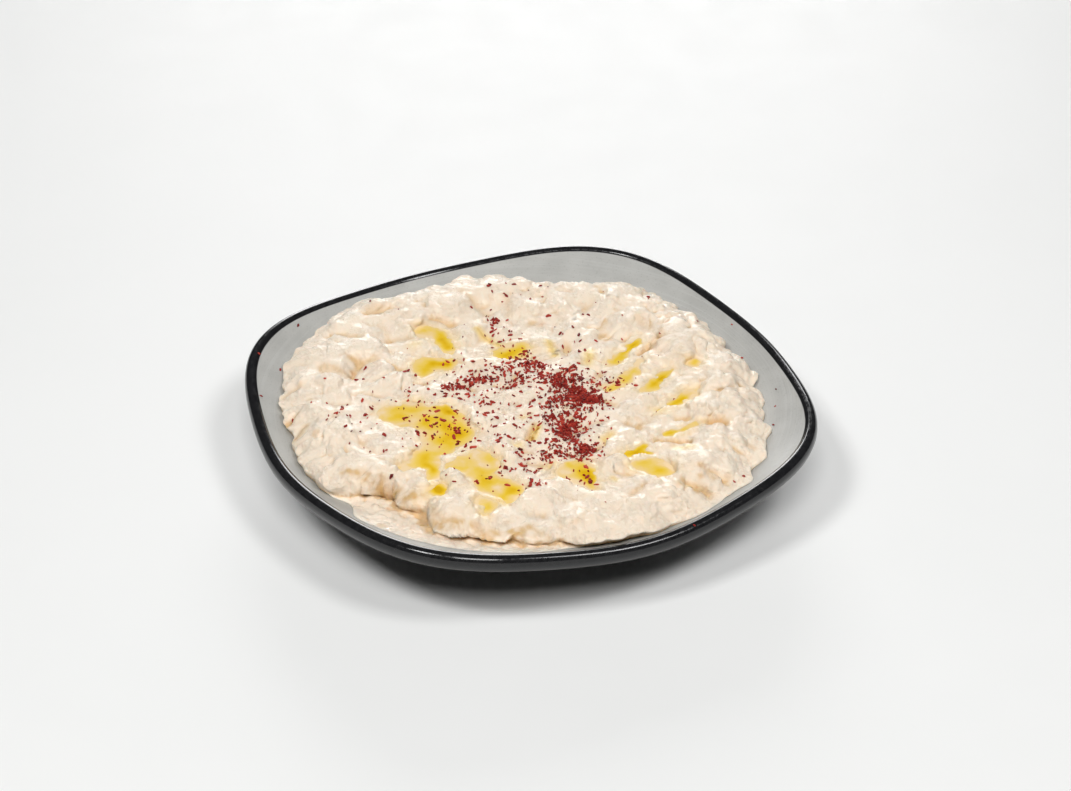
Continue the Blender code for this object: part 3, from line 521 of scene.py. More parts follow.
SMOOTH_OUTLINE = (
    round_the_edge(MEAN_OUTLINE, OUTLINE_BAYS)
    + MM * np.interp(np.degrees(DIRECTIONS) % 360, *np.array(EDGE_TRIM).T, period=360)
    + LOBE_HEIGHT * grain(CIRCLE, LOBE_SIZE / MEAN_OUTLINE)
)
SMALL_OUTLINE = SMALL_LOBE_HEIGHT * (2 * billow(CIRCLE, SMALL_LOBE_SIZE / MEAN_OUTLINE, 1.3) - 1)
SHOULDER_OUTLINE = evened_out(SMOOTH_OUTLINE, SHOULDER_EVENING)
LEDGE_REACH = round_the_edge(0, LEDGES)


def smooth_outline(turn):
    return np.interp(turn, DIRECTIONS, SMOOTH_OUTLINE)


def small_lobes(turn):
    return np.interp(turn, DIRECTIONS, SMALL_OUTLINE)


def spread_outline(turn):
    """The edge of the whole spread, with the smear."""
    share = between(turn, *SMEAR)
    mass = smooth_outline(turn) + small_lobes(turn)
    return np.maximum(mass, share * SMEAR_RADIUS + (1 - share) * mass)


def shore_drift(x, y):
    """How far each stretch of a pool's shore lies inside its plain outline, in metres."""
    return MM * (swells(on_plan(x, y), SHORE_SWELLS) - SHORE_CREEP)


def relief(x, y):
    """Lumps, creases and spoon streaks of the top that are too fine for the part, in metres."""
    flat = on_plan(x, y)
    bends = [grain(flat, BEND_SIZE, shift) for shift in (3.1, 7.7)]
    bent = flat + BEND_REACH * np.stack([*bends, np.zeros(x.shape)], -1)
    turn = np.arctan2(y, x)
    place = np.hypot(x, y) / smooth_outline(turn)
    edge = ease((place - EDGE_START) / EDGE_FADE)
    foot = ease((place - FOOT_START) / FOOT_FADE)
    rough = np.maximum(ease(0.2 + grain(flat, ROUGH_PATCHES, 11.3)), edge) * (1 - 0.65 * foot)
    soft = swells(bent, SOFT_SWELLS) + swells(flat, FINE_SWELLS)
    torn = ease((grain(flat, TORN_PATCHES, 17.3) - 0.05) / 0.3)
    tears = -TEAR_DEPTH * torn * bell(grain(bent, TEAR_SPACING, 21.1), TEAR_WIDTH)
    # streaks that the spoon drew over the right side
    along = x * math.cos(STREAK_TURN) + y * math.sin(STREAK_TURN)
    across = y * math.cos(STREAK_TURN) - x * math.sin(STREAK_TURN)
    drawn = np.stack([along / STREAK_STRETCH, across, np.full(x.shape, 4 * MM)], -1)
    streaks = 0.35 - np.sqrt(grain(drawn, STREAK_SPACING, 1.9) ** 2 + 0.01)
    right = ease((x - STREAKS_START) / STREAKS_FADE) * (1 - edge)
    slope = between(turn, *GENTLE) * ease((place - GENTLE_START) / 0.1)
    return MM * (
        (soft * (1 - 0.6 * rough) + lumps(bent, CLUMPS) * rough + tears) * (1 - 0.5 * foot)
        + lumps(bent, SLOPE_LUMPS) * slope
        + grain(flat, GRIT_SIZE, 4.4) * (0.02 + 0.03 * rough) + STREAK_HEIGHT * streaks * right
    )


def shoulder(x, y):
    """How far out over the edge's slope each point is, what it keeps of its height, and its share of smear."""
    turn = np.arctan2(y, x)
    gentle = between(turn, *GENTLE)
    foot = smooth_outline(turn)
    start = np.interp(turn, DIRECTIONS, SHOULDER_OUTLINE) - SHOULDER * (1 + GENTLE_WIDTH * gentle)
    slope = np.maximum(foot - start, LEAST_SLOPE)
    over = np.maximum(0, np.hypot(x, y) - (foot - slope)) / (slope + small_lobes(turn))
    smeared = between(turn, *SMEAR)
    steepness = STEEPNESS[0] + (STEEPNESS[1] - STEEPNESS[0]) * smeared + GENTLE_FOOT * gentle
    power = SHOULDER_POWER + LEDGE_POWER * between(turn, *CLIFF)
    return over, np.maximum(0, 1 - over**power) ** steepness, smeared


def laid_round_pools(top, fine, x, y):
    """The top with the bowls that hold the oil, and each point's distance from the nearest shore."""
    drift = shore_drift(x, y)
    shore = np.full(x.shape, 1.0)
    uneven = 0.42 + 0.35 * grain(on_plan(x, y), 5 * MM, 6.6)
    for deeper in dabs(x, y, DEEP_SPOTS):
        uneven += deeper
    uneven = np.clip(uneven, *BOWL_UNEVEN)
    for level, line in POOLS.values():
        distance = distance_to_line(x, y, line) + drift
        keep = ease(distance / LEVELLED)
        top = np.where(distance < LEVELLED, level + (top - level) * keep, top)
        # a low shore all round, so that the oil has an edge to lie against
        lip = LIP_RISE * ease(distance / LIP_REACH) * (1 - ease((distance - MM) / (2 * MM)))
        lip -= LIP_FALL * ease((distance - LIP_REACH) / (2.2 * MM))
        top = np.where((distance > 0) & (distance < LEVELLED), np.maximum(top, level + lip), top)
        deep = np.maximum(0, -distance)
        bowl = HOLLOW_DEPTH * (1 - np.exp(-deep / BOWL_SLOPE))
        bottom = level - bowl * uneven + 0.25 * fine * ease(deep / (2.5 * MM))
        top = np.where(distance < 0, np.minimum(bottom, level - LEAST_OIL), top)
        shore = np.minimum(shore, distance)
    return top, shore


def spread_height(x, y):
    """Height of the hummus's top, and each point's distance from the nearest oil."""
    turn = np.arctan2(y, x)
    radius = np.hypot(x, y)
    flat = on_plan(x, y)
    bed = bed_height(x, y)
    place = radius / (smooth_outline(turn) + small_lobes(turn))
    top = RIM_HEIGHT + PLATEAU
    top = top + RING_RISE * bell(place - RING_PLACE, RING_WIDTH)
    top += MOUND_RISE * bell(place, MOUND_WIDTH)
    top += LUMP_HEIGHT * grain(flat, LUMP_SIZE)
    top += MM * sum(dabs(x, y, SPOON_MARKS + FINER_MARKS))
    fine = relief(x, y)
    top, shore = laid_round_pools(top + fine, fine, x, y)
    _over, kept, smeared = shoulder(x, y)
    mass = (top - bed) * kept
    out = ease((radius - SMEAR_FOOT) / (SMEAR_RADIUS - SMEAR_FOOT))
    thickest, thinnest = SMEAR_THICKNESS
    round_edge = np.sqrt(np.maximum(0, 1 - np.minimum(radius / spread_outline(turn), 1) ** SMEAR_ROUNDING))
    broken = swells(flat, SMEAR_SWELLS) + lumps(flat, SMEAR_LUMPS, 0.4)
    smear = (thickest + (thinnest - thickest) * out) * round_edge + 0.75 * fine * round_edge
    smear += broken * MM * round_edge * (1 - 0.7 * out)
    return bed + np.where(smeared > 0, np.maximum(mass, smear), mass), shore


def disc_grid():
    """Turn and share of the edge's radius for each point of a square grid drawn out to a disc."""
    a, b = np.meshgrid(np.linspace(-1, 1, GRID_CELLS + 1), np.linspace(-1, 1, GRID_CELLS + 1))
    reach = np.maximum(np.abs(a), np.abs(b))
    safe_a, safe_b = np.where(a == 0, 1, a), np.where(b == 0, 1, b)
    sideways = math.pi / 4 * b / safe_a + np.where(a < 0, math.pi, 0)
    upwards = math.pi / 2 - math.pi / 4 * a / safe_b + np.where(b < 0, math.pi, 0)
    turn = np.where(np.abs(a) > np.abs(b), sideways, upwards)
    turn = (turn + math.pi) % (2 * math.pi) - math.pi
    return turn, 1 - (1 - reach) ** GRID_CROWDING


def hummus_top():
    """The top's points as a grid, and each one's distance from the nearest oil."""
    turn, share = disc_grid()
    radius = share * spread_outline(turn)
    x, y = radius * np.cos(turn), radius * np.sin(turn)
    height, shore = spread_height(x.ravel(), y.ravel())
    bed = bed_height(x, y)
    height = np.where(share >= 1, bed, height.reshape(x.shape))
    grid = np.stack([x, y, height], -1)
    normals = np.cross(np.gradient(grid, axis=1), np.gradient(grid, axis=0))
    normals /= np.maximum(np.linalg.norm(normals, axis=-1, keepdims=True), 1e-12)
    # lumps that bulge out of the steep edge, and lobes that hang over its foot
    steep = ease((1 - normals[..., 2]) / BULGE_STEEP).ravel()
    free = ease((height - bed).ravel() / BULGE_FREE)
    flat_points, turn = grid.reshape(-1, 3), turn.ravel()
    bulge = lumps(flat_points, BULGES, 0.45)
    over = shoulder(x, y)[0].ravel()
    lobes = np.clip(0.45 + grain(flat_points, LOBE_SPACING, 14.2), 0, 1.2)
    ledges = (OVERHANG + np.interp(turn, DIRECTIONS, LEDGE_REACH)) * (1 - 0.8 * between(turn, *GENTLE))
    hang = ledges * lobes * ease((over - 0.4) / 0.45) * ease((1 - over) / 0.06)
    hang -= 0.5 * ledges * bell(over - 1, 0.035)
    outward = np.stack([np.cos(turn), np.sin(turn), np.zeros(turn.size)], -1)
    grid = flat_points + normals.reshape(-1, 3) * (bulge * MM * steep * free)[:, None] + outward * hang[:, None]
    grid[:, 2] = np.minimum(grid[:, 2], flat_points[:, 2] + 0.5 * MM)
    over_knee = np.maximum(0, grid[:, 2] - TOP_KNEE)
    grid[:, 2] += TOP_ROOM * (1 - np.exp(-over_knee / TOP_ROOM)) - over_knee
    grid[:, 2] = np.maximum(grid[:, 2], bed_height(grid[:, 0], grid[:, 1]))
    return grid, shore


def make_hummus(grid):
    """The top over an underside that lies on the dish."""
    points = grid.tolist()
    last, side = GRID_CELLS, GRID_CELLS + 1
    faces = []
    for row in range(last):
        for first in range(row * side, row * side + last):
            faces.append((first, first + 1, first + side + 1, first + side))
    ring = list(range(last))
    ring += [row * side + last for row in range(last)]
    ring += [last * side + last - column for column in range(last)]
    ring += [(last - row) * side for row in range(last)]
    turns = np.array([math.atan2(points[index][1], points[index][0]) for index in ring])
    for ring_radius in UNDERSIDE_RADII:
        plan = np.minimum(ring_radius * MM + squared_by(ring_radius * MM, turns), spread_outline(turns) - MM)
        ring_x, ring_y = plan * np.cos(turns), plan * np.sin(turns)
        lower = list(range(len(points), len(points) + len(ring)))
        points += np.stack([ring_x, ring_y, bed_height(ring_x, ring_y)], -1).tolist()
        for index in range(len(ring)):
            after = (index + 1) % len(ring)
            faces.append((ring[after], ring[index], lower[index], lower[after]))
        ring = lower
    faces.append(tuple(reversed(ring)))
    return new_piece("hummus_spread", points, faces)


def blurred(field, times):
    """The field with each point averaged with its neighbours, several times over."""
    for _ in range(times):
        padded = np.pad(field, 1, mode="edge")
        field = (padded[1:-1, 1:-1] * 2 + padded[:-2, 1:-1] + padded[2:, 1:-1]
                 + padded[1:-1, :-2] + padded[1:-1, 2:]) / 6
    return field


def note_shades(hummus, grid, shore):
    """Where the hummus is oily, browned or stained, and where shade is painted into its hollows, grooves, folds and
    pits, for its material.
    """
    x, y = grid[:, 0], grid[:, 1]
    height = grid[:, 2].reshape(GRID_CELLS + 1, GRID_CELLS + 1)
    sunk = (blurred(height, HOLLOW_BLUR) - height).ravel()
    # painted shade in the hollows, in the deeper spoon grooves and in the folds under the lobes
    painted_shade = HOLLOW_SHADE * np.clip((sunk - HOLLOW_START) / HOLLOW_FADE, 0, 1)
    marks = [(*ends, 0.8 * width, min(0.9, -0.4 * rise)) for *ends, width, rise in SPOON_MARKS if rise < -0.75]
    uneven_shade = np.clip(0.68 + 0.5 * grain(grid, 2.4 * MM, 3.0), 0.2, 1)
    folds = uneven_shade * np.max(list(dabs(x, y, SHADED_FOLDS)), axis=0)
    note(hummus, "painted_shade", np.max([painted_shade, *dabs(x, y, marks), folds], axis=0))
    # real browned bits, and painted shade in some pits
    spots = [(x0, y0, x0, y0, reach, strength) for x0, y0, reach, strength in BROWNED_BITS_AND_PIT_SHADE]
    note(hummus, "browned_and_pit_shade", np.max(list(dabs(x, y, spots)), axis=0))
    note(hummus, "oil_stain", np.max(list(dabs(x, y, OIL_STAINS)), axis=0))
    note(hummus, "oil_near", np.exp(-np.maximum(shore, 0) / OILY_REACH))


# ---- The oil's form ----

def make_pool(name, level, line):
    """A slab of oil whose flat top shows wherever the hummus lies lower, with its depth at each point."""
    low, high = line.min(axis=0) - 2 * OIL_REACH, line.max(axis=0) + 2 * OIL_REACH
    x, y = np.meshgrid(np.arange(low[0], high[0], OIL_CELL), np.arange(low[1], high[1], OIL_CELL))
    middle_x, middle_y = (((side[1:, 1:] + side[:-1, :-1]) / 2).ravel() for side in (x, y))
    distance = distance_to_line(middle_x, middle_y, line) + shore_drift(middle_x, middle_y)
    used = distance.reshape(x.shape[0] - 1, x.shape[1] - 1) < OIL_REACH
    # cells that meet at a corner alone would pinch the slab
    used[1:, :-1] |= used[1:, 1:] & used[:-1, :-1] & ~used[1:, :-1] & ~used[:-1, 1:]
    used[1:, 1:] |= ~used[1:, 1:] & ~used[:-1, :-1] & used[1:, :-1] & used[:-1, 1:]
    stride = x.shape[1]
    x, y = x.ravel(), y.ravel()
    bed = bed_height(x, y)
    # the oil follows the hummus down towards the edge
    top = bed + (level - bed) * shoulder(x, y)[1] + OIL_WAVE * grain(on_plan(x, y), 6 * MM, 2.7)
    depth = (top - spread_height(x, y)[0]) / MM
    bordered = np.pad(used, 1)
    touched = (bordered[1:, 1:] | bordered[:-1, 1:] | bordered[1:, :-1] | bordered[:-1, :-1]).ravel()
    number_of = np.cumsum(touched) - 1
    upper = np.stack([x, y, top], -1)[touched]
    faces = []
    for row, column in zip(*np.nonzero(used)):
        first = row * stride + column
        ring = number_of[[first, first + 1, first + stride + 1, first + stride]].tolist()
        below = [index + len(upper) for index in ring]
        faces += [ring, below[::-1]]
        for side, (down, along) in enumerate(((0, 1), (1, 2), (2, 1), (1, 0))):
            if not bordered[row + down, column + along]:
                after = (side + 1) % 4
                faces.append([ring[after], ring[side], below[side], below[after]])
    pool = new_piece(name, [*upper.tolist(), *(upper - (0, 0, OIL_SLAB)).tolist()], faces)
    note(pool, "oil_depth", np.tile(depth[touched], 2))
    return pool


# ---- The sumac's form ----

def scattered(seed, count, widening, lengths, rarity, widths):
    """Flakes over the drifts, as length, place, width, turn and a number for the outline."""
    draw = random.Random(seed)
    shares = [drift[4] for drift in SUMAC_DRIFTS]
    shortest, longest = lengths
    spots = []
    for _ in range(count):
        x, y, spread_x, spread_y, _share = draw.choices(SUMAC_DRIFTS, shares)[0]
        place = Vector((draw.gauss(x, widening * spread_x), draw.gauss(y, widening * spread_y))) * MM
        length = shortest + (longest - shortest) * draw.random() ** rarity
        width = length * draw.uniform(*widths)
        spots.append((length, place, width, draw.uniform(0, math.pi), draw.random()))
    return spots


def chip_form(length, width, thickness, shape):
    """An uneven chip: a curled rag of five to seven sides, thinner towards its edge."""
    draw = random.Random(shape)
    sides = draw.choice((5, 6, 7))
    curl = draw.uniform(-0.5, 0.5)
    outer = []
    for index in range(sides):
        turn = 2 * math.pi * (index + draw.uniform(-0.3, 0.3)) / sides
        reach = draw.uniform(0.36, 0.56)
        outer.append((math.cos(turn) * reach, math.sin(turn) * reach))
    points = []
    for height, shrink in ((0.5, 0.72), (0.0, 1.0), (-0.5, 0.8)):
        for x, y in outer:
            lift = curl * (x * x - 0.1) * 2
            points.append((x * shrink * length, y * shrink * width,
                           (height + draw.uniform(-0.15, 0.15)) * thickness + lift * thickness * 1.5))
    points.append((0, 0, thickness * draw.uniform(0.35, 0.7)))
    points.append((0, 0, -thickness * 0.5))
    faces = []
    for index in range(sides):
        after = (index + 1) % sides
        for top in (0, sides):
            faces.append((top + after, top + index, top + sides + index, top + sides + after))
        faces.append((index, after, 3 * sides))
        faces.append((2 * sides + after, 2 * sides + index, 3 * sides + 1))
    return points, faces


def sprinkle(name, spots, carriers, thickness):
    """One piece of all these chips, each lying on what is under it, and on the chips before it."""
    trees = [BVHTree.FromObject(carrier, bpy.context.evaluated_depsgraph_get()) for carrier in carriers]
    points, faces, shades, pile = [], [], [], {}
    for length, place, width, turn, shape in spots:
        above = Vector((place.x, place.y, 2 * RIM_HEIGHT))
        hits = [tree.ray_cast(above, Vector((0, 0, -1)))[:2] for tree in trees]
        hits = [hit for hit in hits if hit[0] is not None]
        if not hits:
            continue
        hit, normal = max(hits, key=lambda hit: hit[0].z)
        draw = random.Random(shape + 3)
        key = (round(place.x / PILE_CELL), round(place.y / PILE_CELL))
        layer = pile.get(key, 0)
        pile[key] = layer + 1
        if layer > MOST_LAYERS:
            continue
        tilt = FLAKE_TILT + PILE_TILT * min(layer, 2)
        lean = Vector((draw.gauss(0, tilt), draw.gauss(0, tilt), 0))
        up = (normal + lean).normalized()
        thick = thickness * draw.uniform(*FLAKE_UNEVEN)
        lift = thick * FLAKE_LIFT + layer * PILE_RISE
        move = Matrix.Translation(hit + normal * lift) @ up.to_track_quat("Z", "Y").to_matrix().to_4x4()
        move = move @ Matrix.Rotation(turn, 4, "Z")
        form, sides = chip_form(length, width, thick, shape)
        first = len(points)
        points += [tuple(move @ Vector(point)) for point in form]
        faces += [tuple(first + index for index in face) for face in sides]
        shades += [draw.random()] * len(form)
    piece = new_piece(name, points, faces, smooth=False)
    note(piece, "flake_shade", shades)
    return piece


# ---- Materials ----

class Nodes:
    """Short calls that add nodes to one shader tree. What they take is a number, a colour or a socket."""

    def __init__(self, tree):
        self.tree = tree

    def give(self, socket, value):
        if isinstance(value, bpy.types.NodeSocket):
            self.tree.links.new(value, socket)
        else:
            socket.default_value = (*value, 1) if socket.type == "RGBA" else value

    def add(self, kind, inputs=None, **settings):
        made = self.tree.nodes.new("ShaderNode" + kind)
        for name, value in settings.items():
            setattr(made, name, value)
        for key, value in (inputs or {}).items():
            self.give(made.inputs[key], value)
        return made

    def math(self, operation, *values):
        return self.add("Math", dict(enumerate(values)), operation=operation).outputs[0]

    def times(self, first, second):
        return self.math("MULTIPLY", first, second)

    def step(self, value, low, high, to_low=0.0, to_high=1.0):
        """Takes the value from one range to another, smoothly and no further than its ends."""
        ends = {0: value, 1: low, 2: high, 3: to_low, 4: to_high}
        return self.add("MapRange", ends, interpolation_type="SMOOTHSTEP").outputs[0]

    def spread(self, value, to_low, to_high):
        return self.step(value, 0.0, 1.0, to_low, to_high)

    def mix(self, share, first, second):
        return self.add("Mix", {0: share, 6: first, 7: second}, data_type="RGBA").outputs[2]

    def ramp(self, value, stops):
        made = self.add("ValToRGB", {0: value})
        first, last = made.color_ramp.elements
        first.position, first.color = stops[0][0], (*stops[0][1], 1)
        last.position, last.color = stops[-1][0], (*stops[-1][1], 1)
        for place, colour in stops[1:-1]:
            made.color_ramp.elements.new(place).color = (*colour, 1)
        return made.outputs[0]

    def place(self):
        return self.add("TexCoord").outputs["Object"]

    def noted(self, name):
        return self.add("Attribute", attribute_name=name).outputs["Fac"]

    def grain(self, swells):
        made = self.add("Group", {"Swells per metre": swells}, node_tree=GRAIN)
        return made.outputs["Coarse"], made.outputs["Fine"]

    def flecks(self, cells, left_out, core, edge):
        inputs = {"Cells per metre": cells, "Share left out": left_out, "Core": core, "Edge": edge}
        return self.add("Group", inputs, node_tree=FLECKS).outputs["Fleck"]

    def finish(self, shader, colour, roughness, height=None, distance=None):
        self.give(shader["Base Color"], colour)
        self.give(shader["Roughness"], roughness)
        if height is not None:
            self.give(shader["Normal"], self.add("Bump", {"Height": height, "Distance": distance}).outputs[0])


def new_group(name, inputs, outputs):
    """A shader group with these number sockets: its nodes, what it is given and what it gives."""
    group = bpy.data.node_groups.new(name, "ShaderNodeTree")
    for way, names in (("INPUT", inputs), ("OUTPUT", outputs)):
        for socket in names:
            group.interface.new_socket(socket, in_out=way, socket_type="NodeSocketFloat")
    return Nodes(group), group.nodes.new("NodeGroupInput").outputs, group.nodes.new("NodeGroupOutput").inputs


def grain_group():
    """Grain of one size over the surface, as a coarse and a fine value from 0 to 1."""
    nodes, given, result = new_group("surface_grain", ["Swells per metre"], ["Coarse", "Fine"])
    place, finer = nodes.place(), nodes.times(given[0], 7.0)
    coarse = nodes.add("TexNoise", {"Vector": place, "Scale": given[0], "Detail": 3.0})
    fine = nodes.add("TexNoise", {"Vector": place, "Scale": finer, "Detail": 4.0, "Roughness": 0.6})
    nodes.give(result[0], nodes.step(coarse.outputs[0], 0.3, 0.7))
    nodes.give(result[1], nodes.step(fine.outputs[0], 0.3, 0.7))
    return nodes.tree


def fleck_group():
    """Specks in some of the cells of a random pattern: 1 in a speck's core, and 0 past its edge."""
    inputs = ["Cells per metre", "Share left out", "Core", "Edge"]
    nodes, given, result = new_group("scattered_flecks", inputs, ["Fleck"])
    cells = nodes.add("TexVoronoi", {"Vector": nodes.place(), "Scale": given[0]})
    chosen = nodes.add("SeparateColor", {0: cells.outputs["Color"]}).outputs[0]
    speck = nodes.step(cells.outputs["Distance"], given[2], given[3], 1.0, 0.0)
    nodes.give(result[0], nodes.times(speck, nodes.math("GREATER_THAN", chosen, given[1])))
    return nodes.tree


GRAIN = grain_group()
FLECKS = fleck_group()


def new_material(name, **constants):
    """A material, its nodes and its shader's inputs, with these constants on them."""
    material = bpy.data.materials.new(name)
    material.use_nodes = True
    nodes = Nodes(material.node_tree)
    shader = material.node_tree.nodes["Principled BSDF"].inputs
    for socket, value in constants.items():
        nodes.give(shader[socket.replace("_", " ")], value)
    return material, nodes, shader


def hummus_material():
    material, nodes, shader = new_material(
        "moist_hummus", Specular_IOR_Level=0.24, Subsurface_Weight=1.0, Subsurface_Radius=(0.80, 0.92, 0.96),
        Subsurface_Scale=0.0009,
    )
    patches, mottle = nodes.grain(60)
    wet, beads = nodes.grain(150)
    cream = nodes.mix(patches, (0.902, 0.777, 0.636), (0.882, 0.749, 0.602))
    cream = nodes.mix(nodes.step(mottle, 0.45, 1.0, 0.0, 0.3), cream, (0.925, 0.795, 0.655))
    # painted shade: warm brown in the hollows, the deeper spoon grooves and the folds under the lobes
    cream = nodes.mix(nodes.step(nodes.noted("painted_shade"), 0.05, 1.0, 0.0, 0.9), cream, (0.68, 0.45, 0.195))
    # flecks of chickpea skin and spice
    cream = nodes.mix(nodes.times(nodes.flecks(150, 0.95, 0.12, 0.34), 0.4), cream, (0.76, 0.48, 0.22))
    # browned bits, and painted brown shade in some pits
    cream = nodes.mix(nodes.noted("browned_and_pit_shade"), cream, (0.70, 0.36, 0.10))
    cream = nodes.mix(nodes.times(nodes.noted("oil_near"), nodes.spread(patches, 0.35, 0.9)), cream, (0.92, 0.68, 0.33))
    stain = nodes.noted("oil_stain")
    yellow = nodes.mix(nodes.step(stain, 0.6, 0.95), (0.88, 0.63, 0.15), (0.44, 0.21, 0.004))
    cream = nodes.mix(stain, cream, yellow)
    sparkle = nodes.times(nodes.step(beads, 0.55, 0.95), nodes.step(wet, 0.3, 0.7, 0.2, 1.0))
    ripples = nodes.times(nodes.grain(80)[1], nodes.step(wet, 0.2, 0.8, 0.35, 1.0))
    relief = nodes.math("ADD", sparkle, ripples)
    nodes.finish(shader, cream, nodes.step(wet, 0.2, 0.8, 0.2, 0.42), relief, 0.2 * MM)
    return material


def oil_material():
    material, nodes, shader = new_material("golden_olive_oil", IOR=1.47, Specular_IOR_Level=0.4)
    swirl, _fine = nodes.grain(170)
    depth = nodes.math("ADD", nodes.noted("oil_depth"), nodes.spread(swirl, -0.15, 0.15))
    colour = nodes.ramp(nodes.math("DIVIDE", depth, DEEPEST_OIL), [
        (0.0, (0.89, 0.68, 0.41)), (0.13, (0.87, 0.63, 0.26)), (0.33, (0.85, 0.6, 0.12)),
        (0.6, (0.82, 0.54, 0.033)), (0.85, (0.76, 0.46, 0.01)), (1.0, (0.66, 0.38, 0.006)),
    ])
    nodes.finish(shader, colour, nodes.spread(swirl, 0.05, 0.14))
    return material


def sumac_material():
    material, nodes, shader = new_material("dried_sumac", Specular_IOR_Level=0.15)
    _coarse, rasp = nodes.grain(300)
    colour = nodes.ramp(nodes.noted("flake_shade"), [
        (0.0, (0.07, 0.01, 0.01)), (0.08, (0.15, 0.012, 0.011)), (0.3, (0.26, 0.016, 0.013)),
        (0.65, (0.38, 0.03, 0.02)), (1.0, (0.62, 0.085, 0.05)),
    ])
    colour = nodes.mix(nodes.step(rasp, 0.2, 0.9, 0.0, 0.4), colour, (0.44, 0.050, 0.035))
    nodes.finish(shader, colour, nodes.spread(rasp, 0.4, 0.65), rasp, 0.1 * MM)
    return material


def dish_material():
    """Grey glaze inside, with the fine rings of its turning, and a gloss black lip and outside."""
    material, nodes, shader = new_material("grey_and_black_melamine")
    cloud, speckle = nodes.grain(90)
    axes = nodes.add("SeparateXYZ", {0: nodes.place()}).outputs
    radius = nodes.math("SQRT", nodes.math(
        "ADD", nodes.math("POWER", axes[0], 2.0), nodes.math("POWER", axes[1], 2.0)
    ))
    turn = nodes.math("ARCTAN2", axes[1], axes[0])
    ring_place = nodes.add("CombineXYZ", {0: nodes.times(radius, RINGS_PER_METRE), 1: turn}).outputs[0]
    rings = nodes.add("TexNoise", {"Vector": ring_place, "Scale": 1.0, "Detail": 3.0}).outputs[0]
    rings = nodes.step(rings, 0.35, 0.7)
    grey = nodes.mix(cloud, (0.412, 0.410, 0.388), (0.462, 0.460, 0.436))
    grey = nodes.mix(nodes.step(rings, 0.3, 1.0, 0.0, 0.35), grey, (0.52, 0.52, 0.50))
    grey = nodes.mix(nodes.times(nodes.flecks(900, 0.0, 0.10, 0.30), 0.30), grey, (0.26, 0.25, 0.23))
    glaze = nodes.mix(speckle, (0.010, 0.010, 0.011), (0.016, 0.016, 0.017))
    glaze = nodes.mix(nodes.times(nodes.flecks(420, 0.985, 0.05, 0.22), 0.7), glaze, (0.35, 0.35, 0.33))
    lip_place = nodes.math("ADD", nodes.noted("lip_place"), nodes.spread(speckle, -0.03, 0.03))
    black = nodes.step(lip_place, 0.05, 0.55)
    rough = nodes.add("Mix", {0: black, 2: nodes.spread(rings, 0.38, 0.52), 3: nodes.spread(speckle, 0.1, 0.2)})
    turned = nodes.times(rings, nodes.math("SUBTRACT", 1.0, black))
    nodes.finish(shader, nodes.mix(black, grey, glaze), rough.outputs[0], turned, 0.02 * MM)
    return material


def floor_material():
    material, nodes, shader = new_material("pale_floor")
    cloud, fine = nodes.grain(8)
    pale = nodes.mix(cloud, (0.858, 0.862, 0.85), (0.87, 0.873, 0.862))
    nodes.finish(shader, pale, nodes.spread(fine, 0.45, 0.5))
    return material


# ---- Putting it together ----

def wear(thing, material):
    thing.data.materials.append(material)
    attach(thing, "root")


dish = make_dish()
wear(dish, dish_material())
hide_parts("dish")

top_points, top_shore = hummus_top()
hummus = make_hummus(top_points)
note_shades(hummus, top_points, top_shore)
wear(hummus, hummus_material())
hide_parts("hummus")

oil = oil_material()
pools = []
for pool_name, (pool_level, pool_line) in POOLS.items():
    pool = make_pool("pool_of_" + pool_name, pool_level, pool_line)
    wear(pool, oil)
    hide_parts(pool_name)
    pools.append(pool)

bpy.context.view_layer.update()
sumac = sumac_material()
flake_spots = scattered(SUMAC_SEED, SUMAC_COUNT, 1, FLAKE_LENGTH, FLAKE_RARITY, FLAKE_WIDTH)
flake_spots.sort(key=lambda spot: -spot[0])
wear(sprinkle("sumac_flakes", flake_spots, [hummus, *pools], FLAKE_THICKNESS), sumac)
dust_spots = scattered(SUMAC_SEED + 1, DUST_COUNT, DUST_WIDENING, DUST_LENGTH, 1, DUST_WIDTH)
wear(sprinkle("sumac_dust", dust_spots, [hummus, *pools], DUST_THICKNESS), sumac)
crumb_spots = [
    (length * MM, Vector((x, y)) * MM, 0.5 * length * MM, turn, shape) for x, y, length, turn, shape in DISH_CRUMBS
]
wear(sprinkle("sumac_crumbs_on_dish", crumb_spots, [dish, hummus], CRUMB_THICKNESS), sumac)


# ---- Stage, light and camera ----

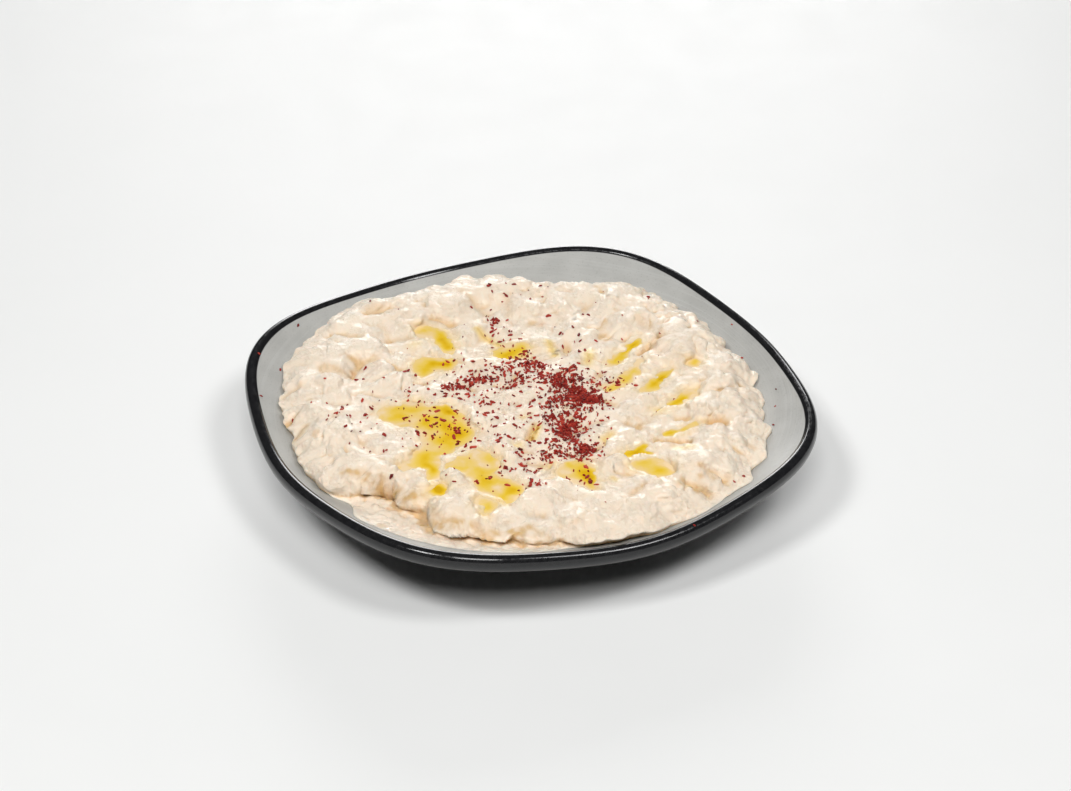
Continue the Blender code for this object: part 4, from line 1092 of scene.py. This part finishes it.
floor = new_piece("floor", [(-4, -4, 0), (4, -4, 0), (4, 4, 0), (-4, 4, 0)], [(0, 1, 2, 3)], smooth=False)
floor.data.materials.append(floor_material())


def from_view(x, y, z):
    """A direction given as to the right, away from the camera and up, in the dish's frame."""
    return Vector((math.cos(VIEW_TURN) * x + math.sin(VIEW_TURN) * y,
                   -math.sin(VIEW_TURN) * x + math.cos(VIEW_TURN) * y, z))


right = from_view(1, 0, 0)
up = from_view(0, math.sin(VIEW_TILT), math.cos(VIEW_TILT))
ahead = from_view(0, math.cos(VIEW_TILT), -math.sin(VIEW_TILT))
camera = add_object("camera", bpy.data.cameras.new("camera"))
camera.data.lens = 97.256
camera.data.sensor_width = 36
place = -(right * VIEW_OFFSET[0] + up * VIEW_OFFSET[1] + ahead * VIEW_RANGE) + Vector((0, 0, RIM_HEIGHT))
camera.matrix_world = Matrix.Translation(place) @ Matrix((right, up, -ahead)).transposed().to_4x4()
camera.data.clip_start, camera.data.clip_end = 0.05, 20
bpy.context.scene.camera = camera


def softbox(name, azimuth, elevation, size, power):
    """A square light. Azimuth is from the right of the view towards its back."""
    a, e = math.radians(azimuth), math.radians(elevation)
    direction = from_view(math.cos(e) * math.cos(a), math.cos(e) * math.sin(a), math.sin(e))
    light = add_object(name, bpy.data.lights.new(name, "AREA"))
    light.data.shape = "SQUARE"
    light.data.size = size
    light.data.energy = power
    light.location = direction * LIGHT_DISTANCE
    light.rotation_mode = "QUATERNION"
    light.rotation_quaternion = direction.to_track_quat("Z", "Y")


softbox("left_softbox", 214.6, 57.1, 0.68, 33)
softbox("front_softbox", 269.4, 55.9, 1.08, 41)
softbox("right_softbox", 333.1, 58.4, 0.78, 28)
softbox("back_wall", 90, 12, 1.3, 36)

world = bpy.data.worlds.new("studio")
world.use_nodes = True
world.node_tree.nodes["Background"].inputs[0].default_value = (0.95, 0.97, 1.0, 1)
world.node_tree.nodes["Background"].inputs[1].default_value = 0.015
bpy.context.scene.world = world
bpy.context.scene.view_settings.view_transform = "Standard"

bpy.context.view_layer.update()
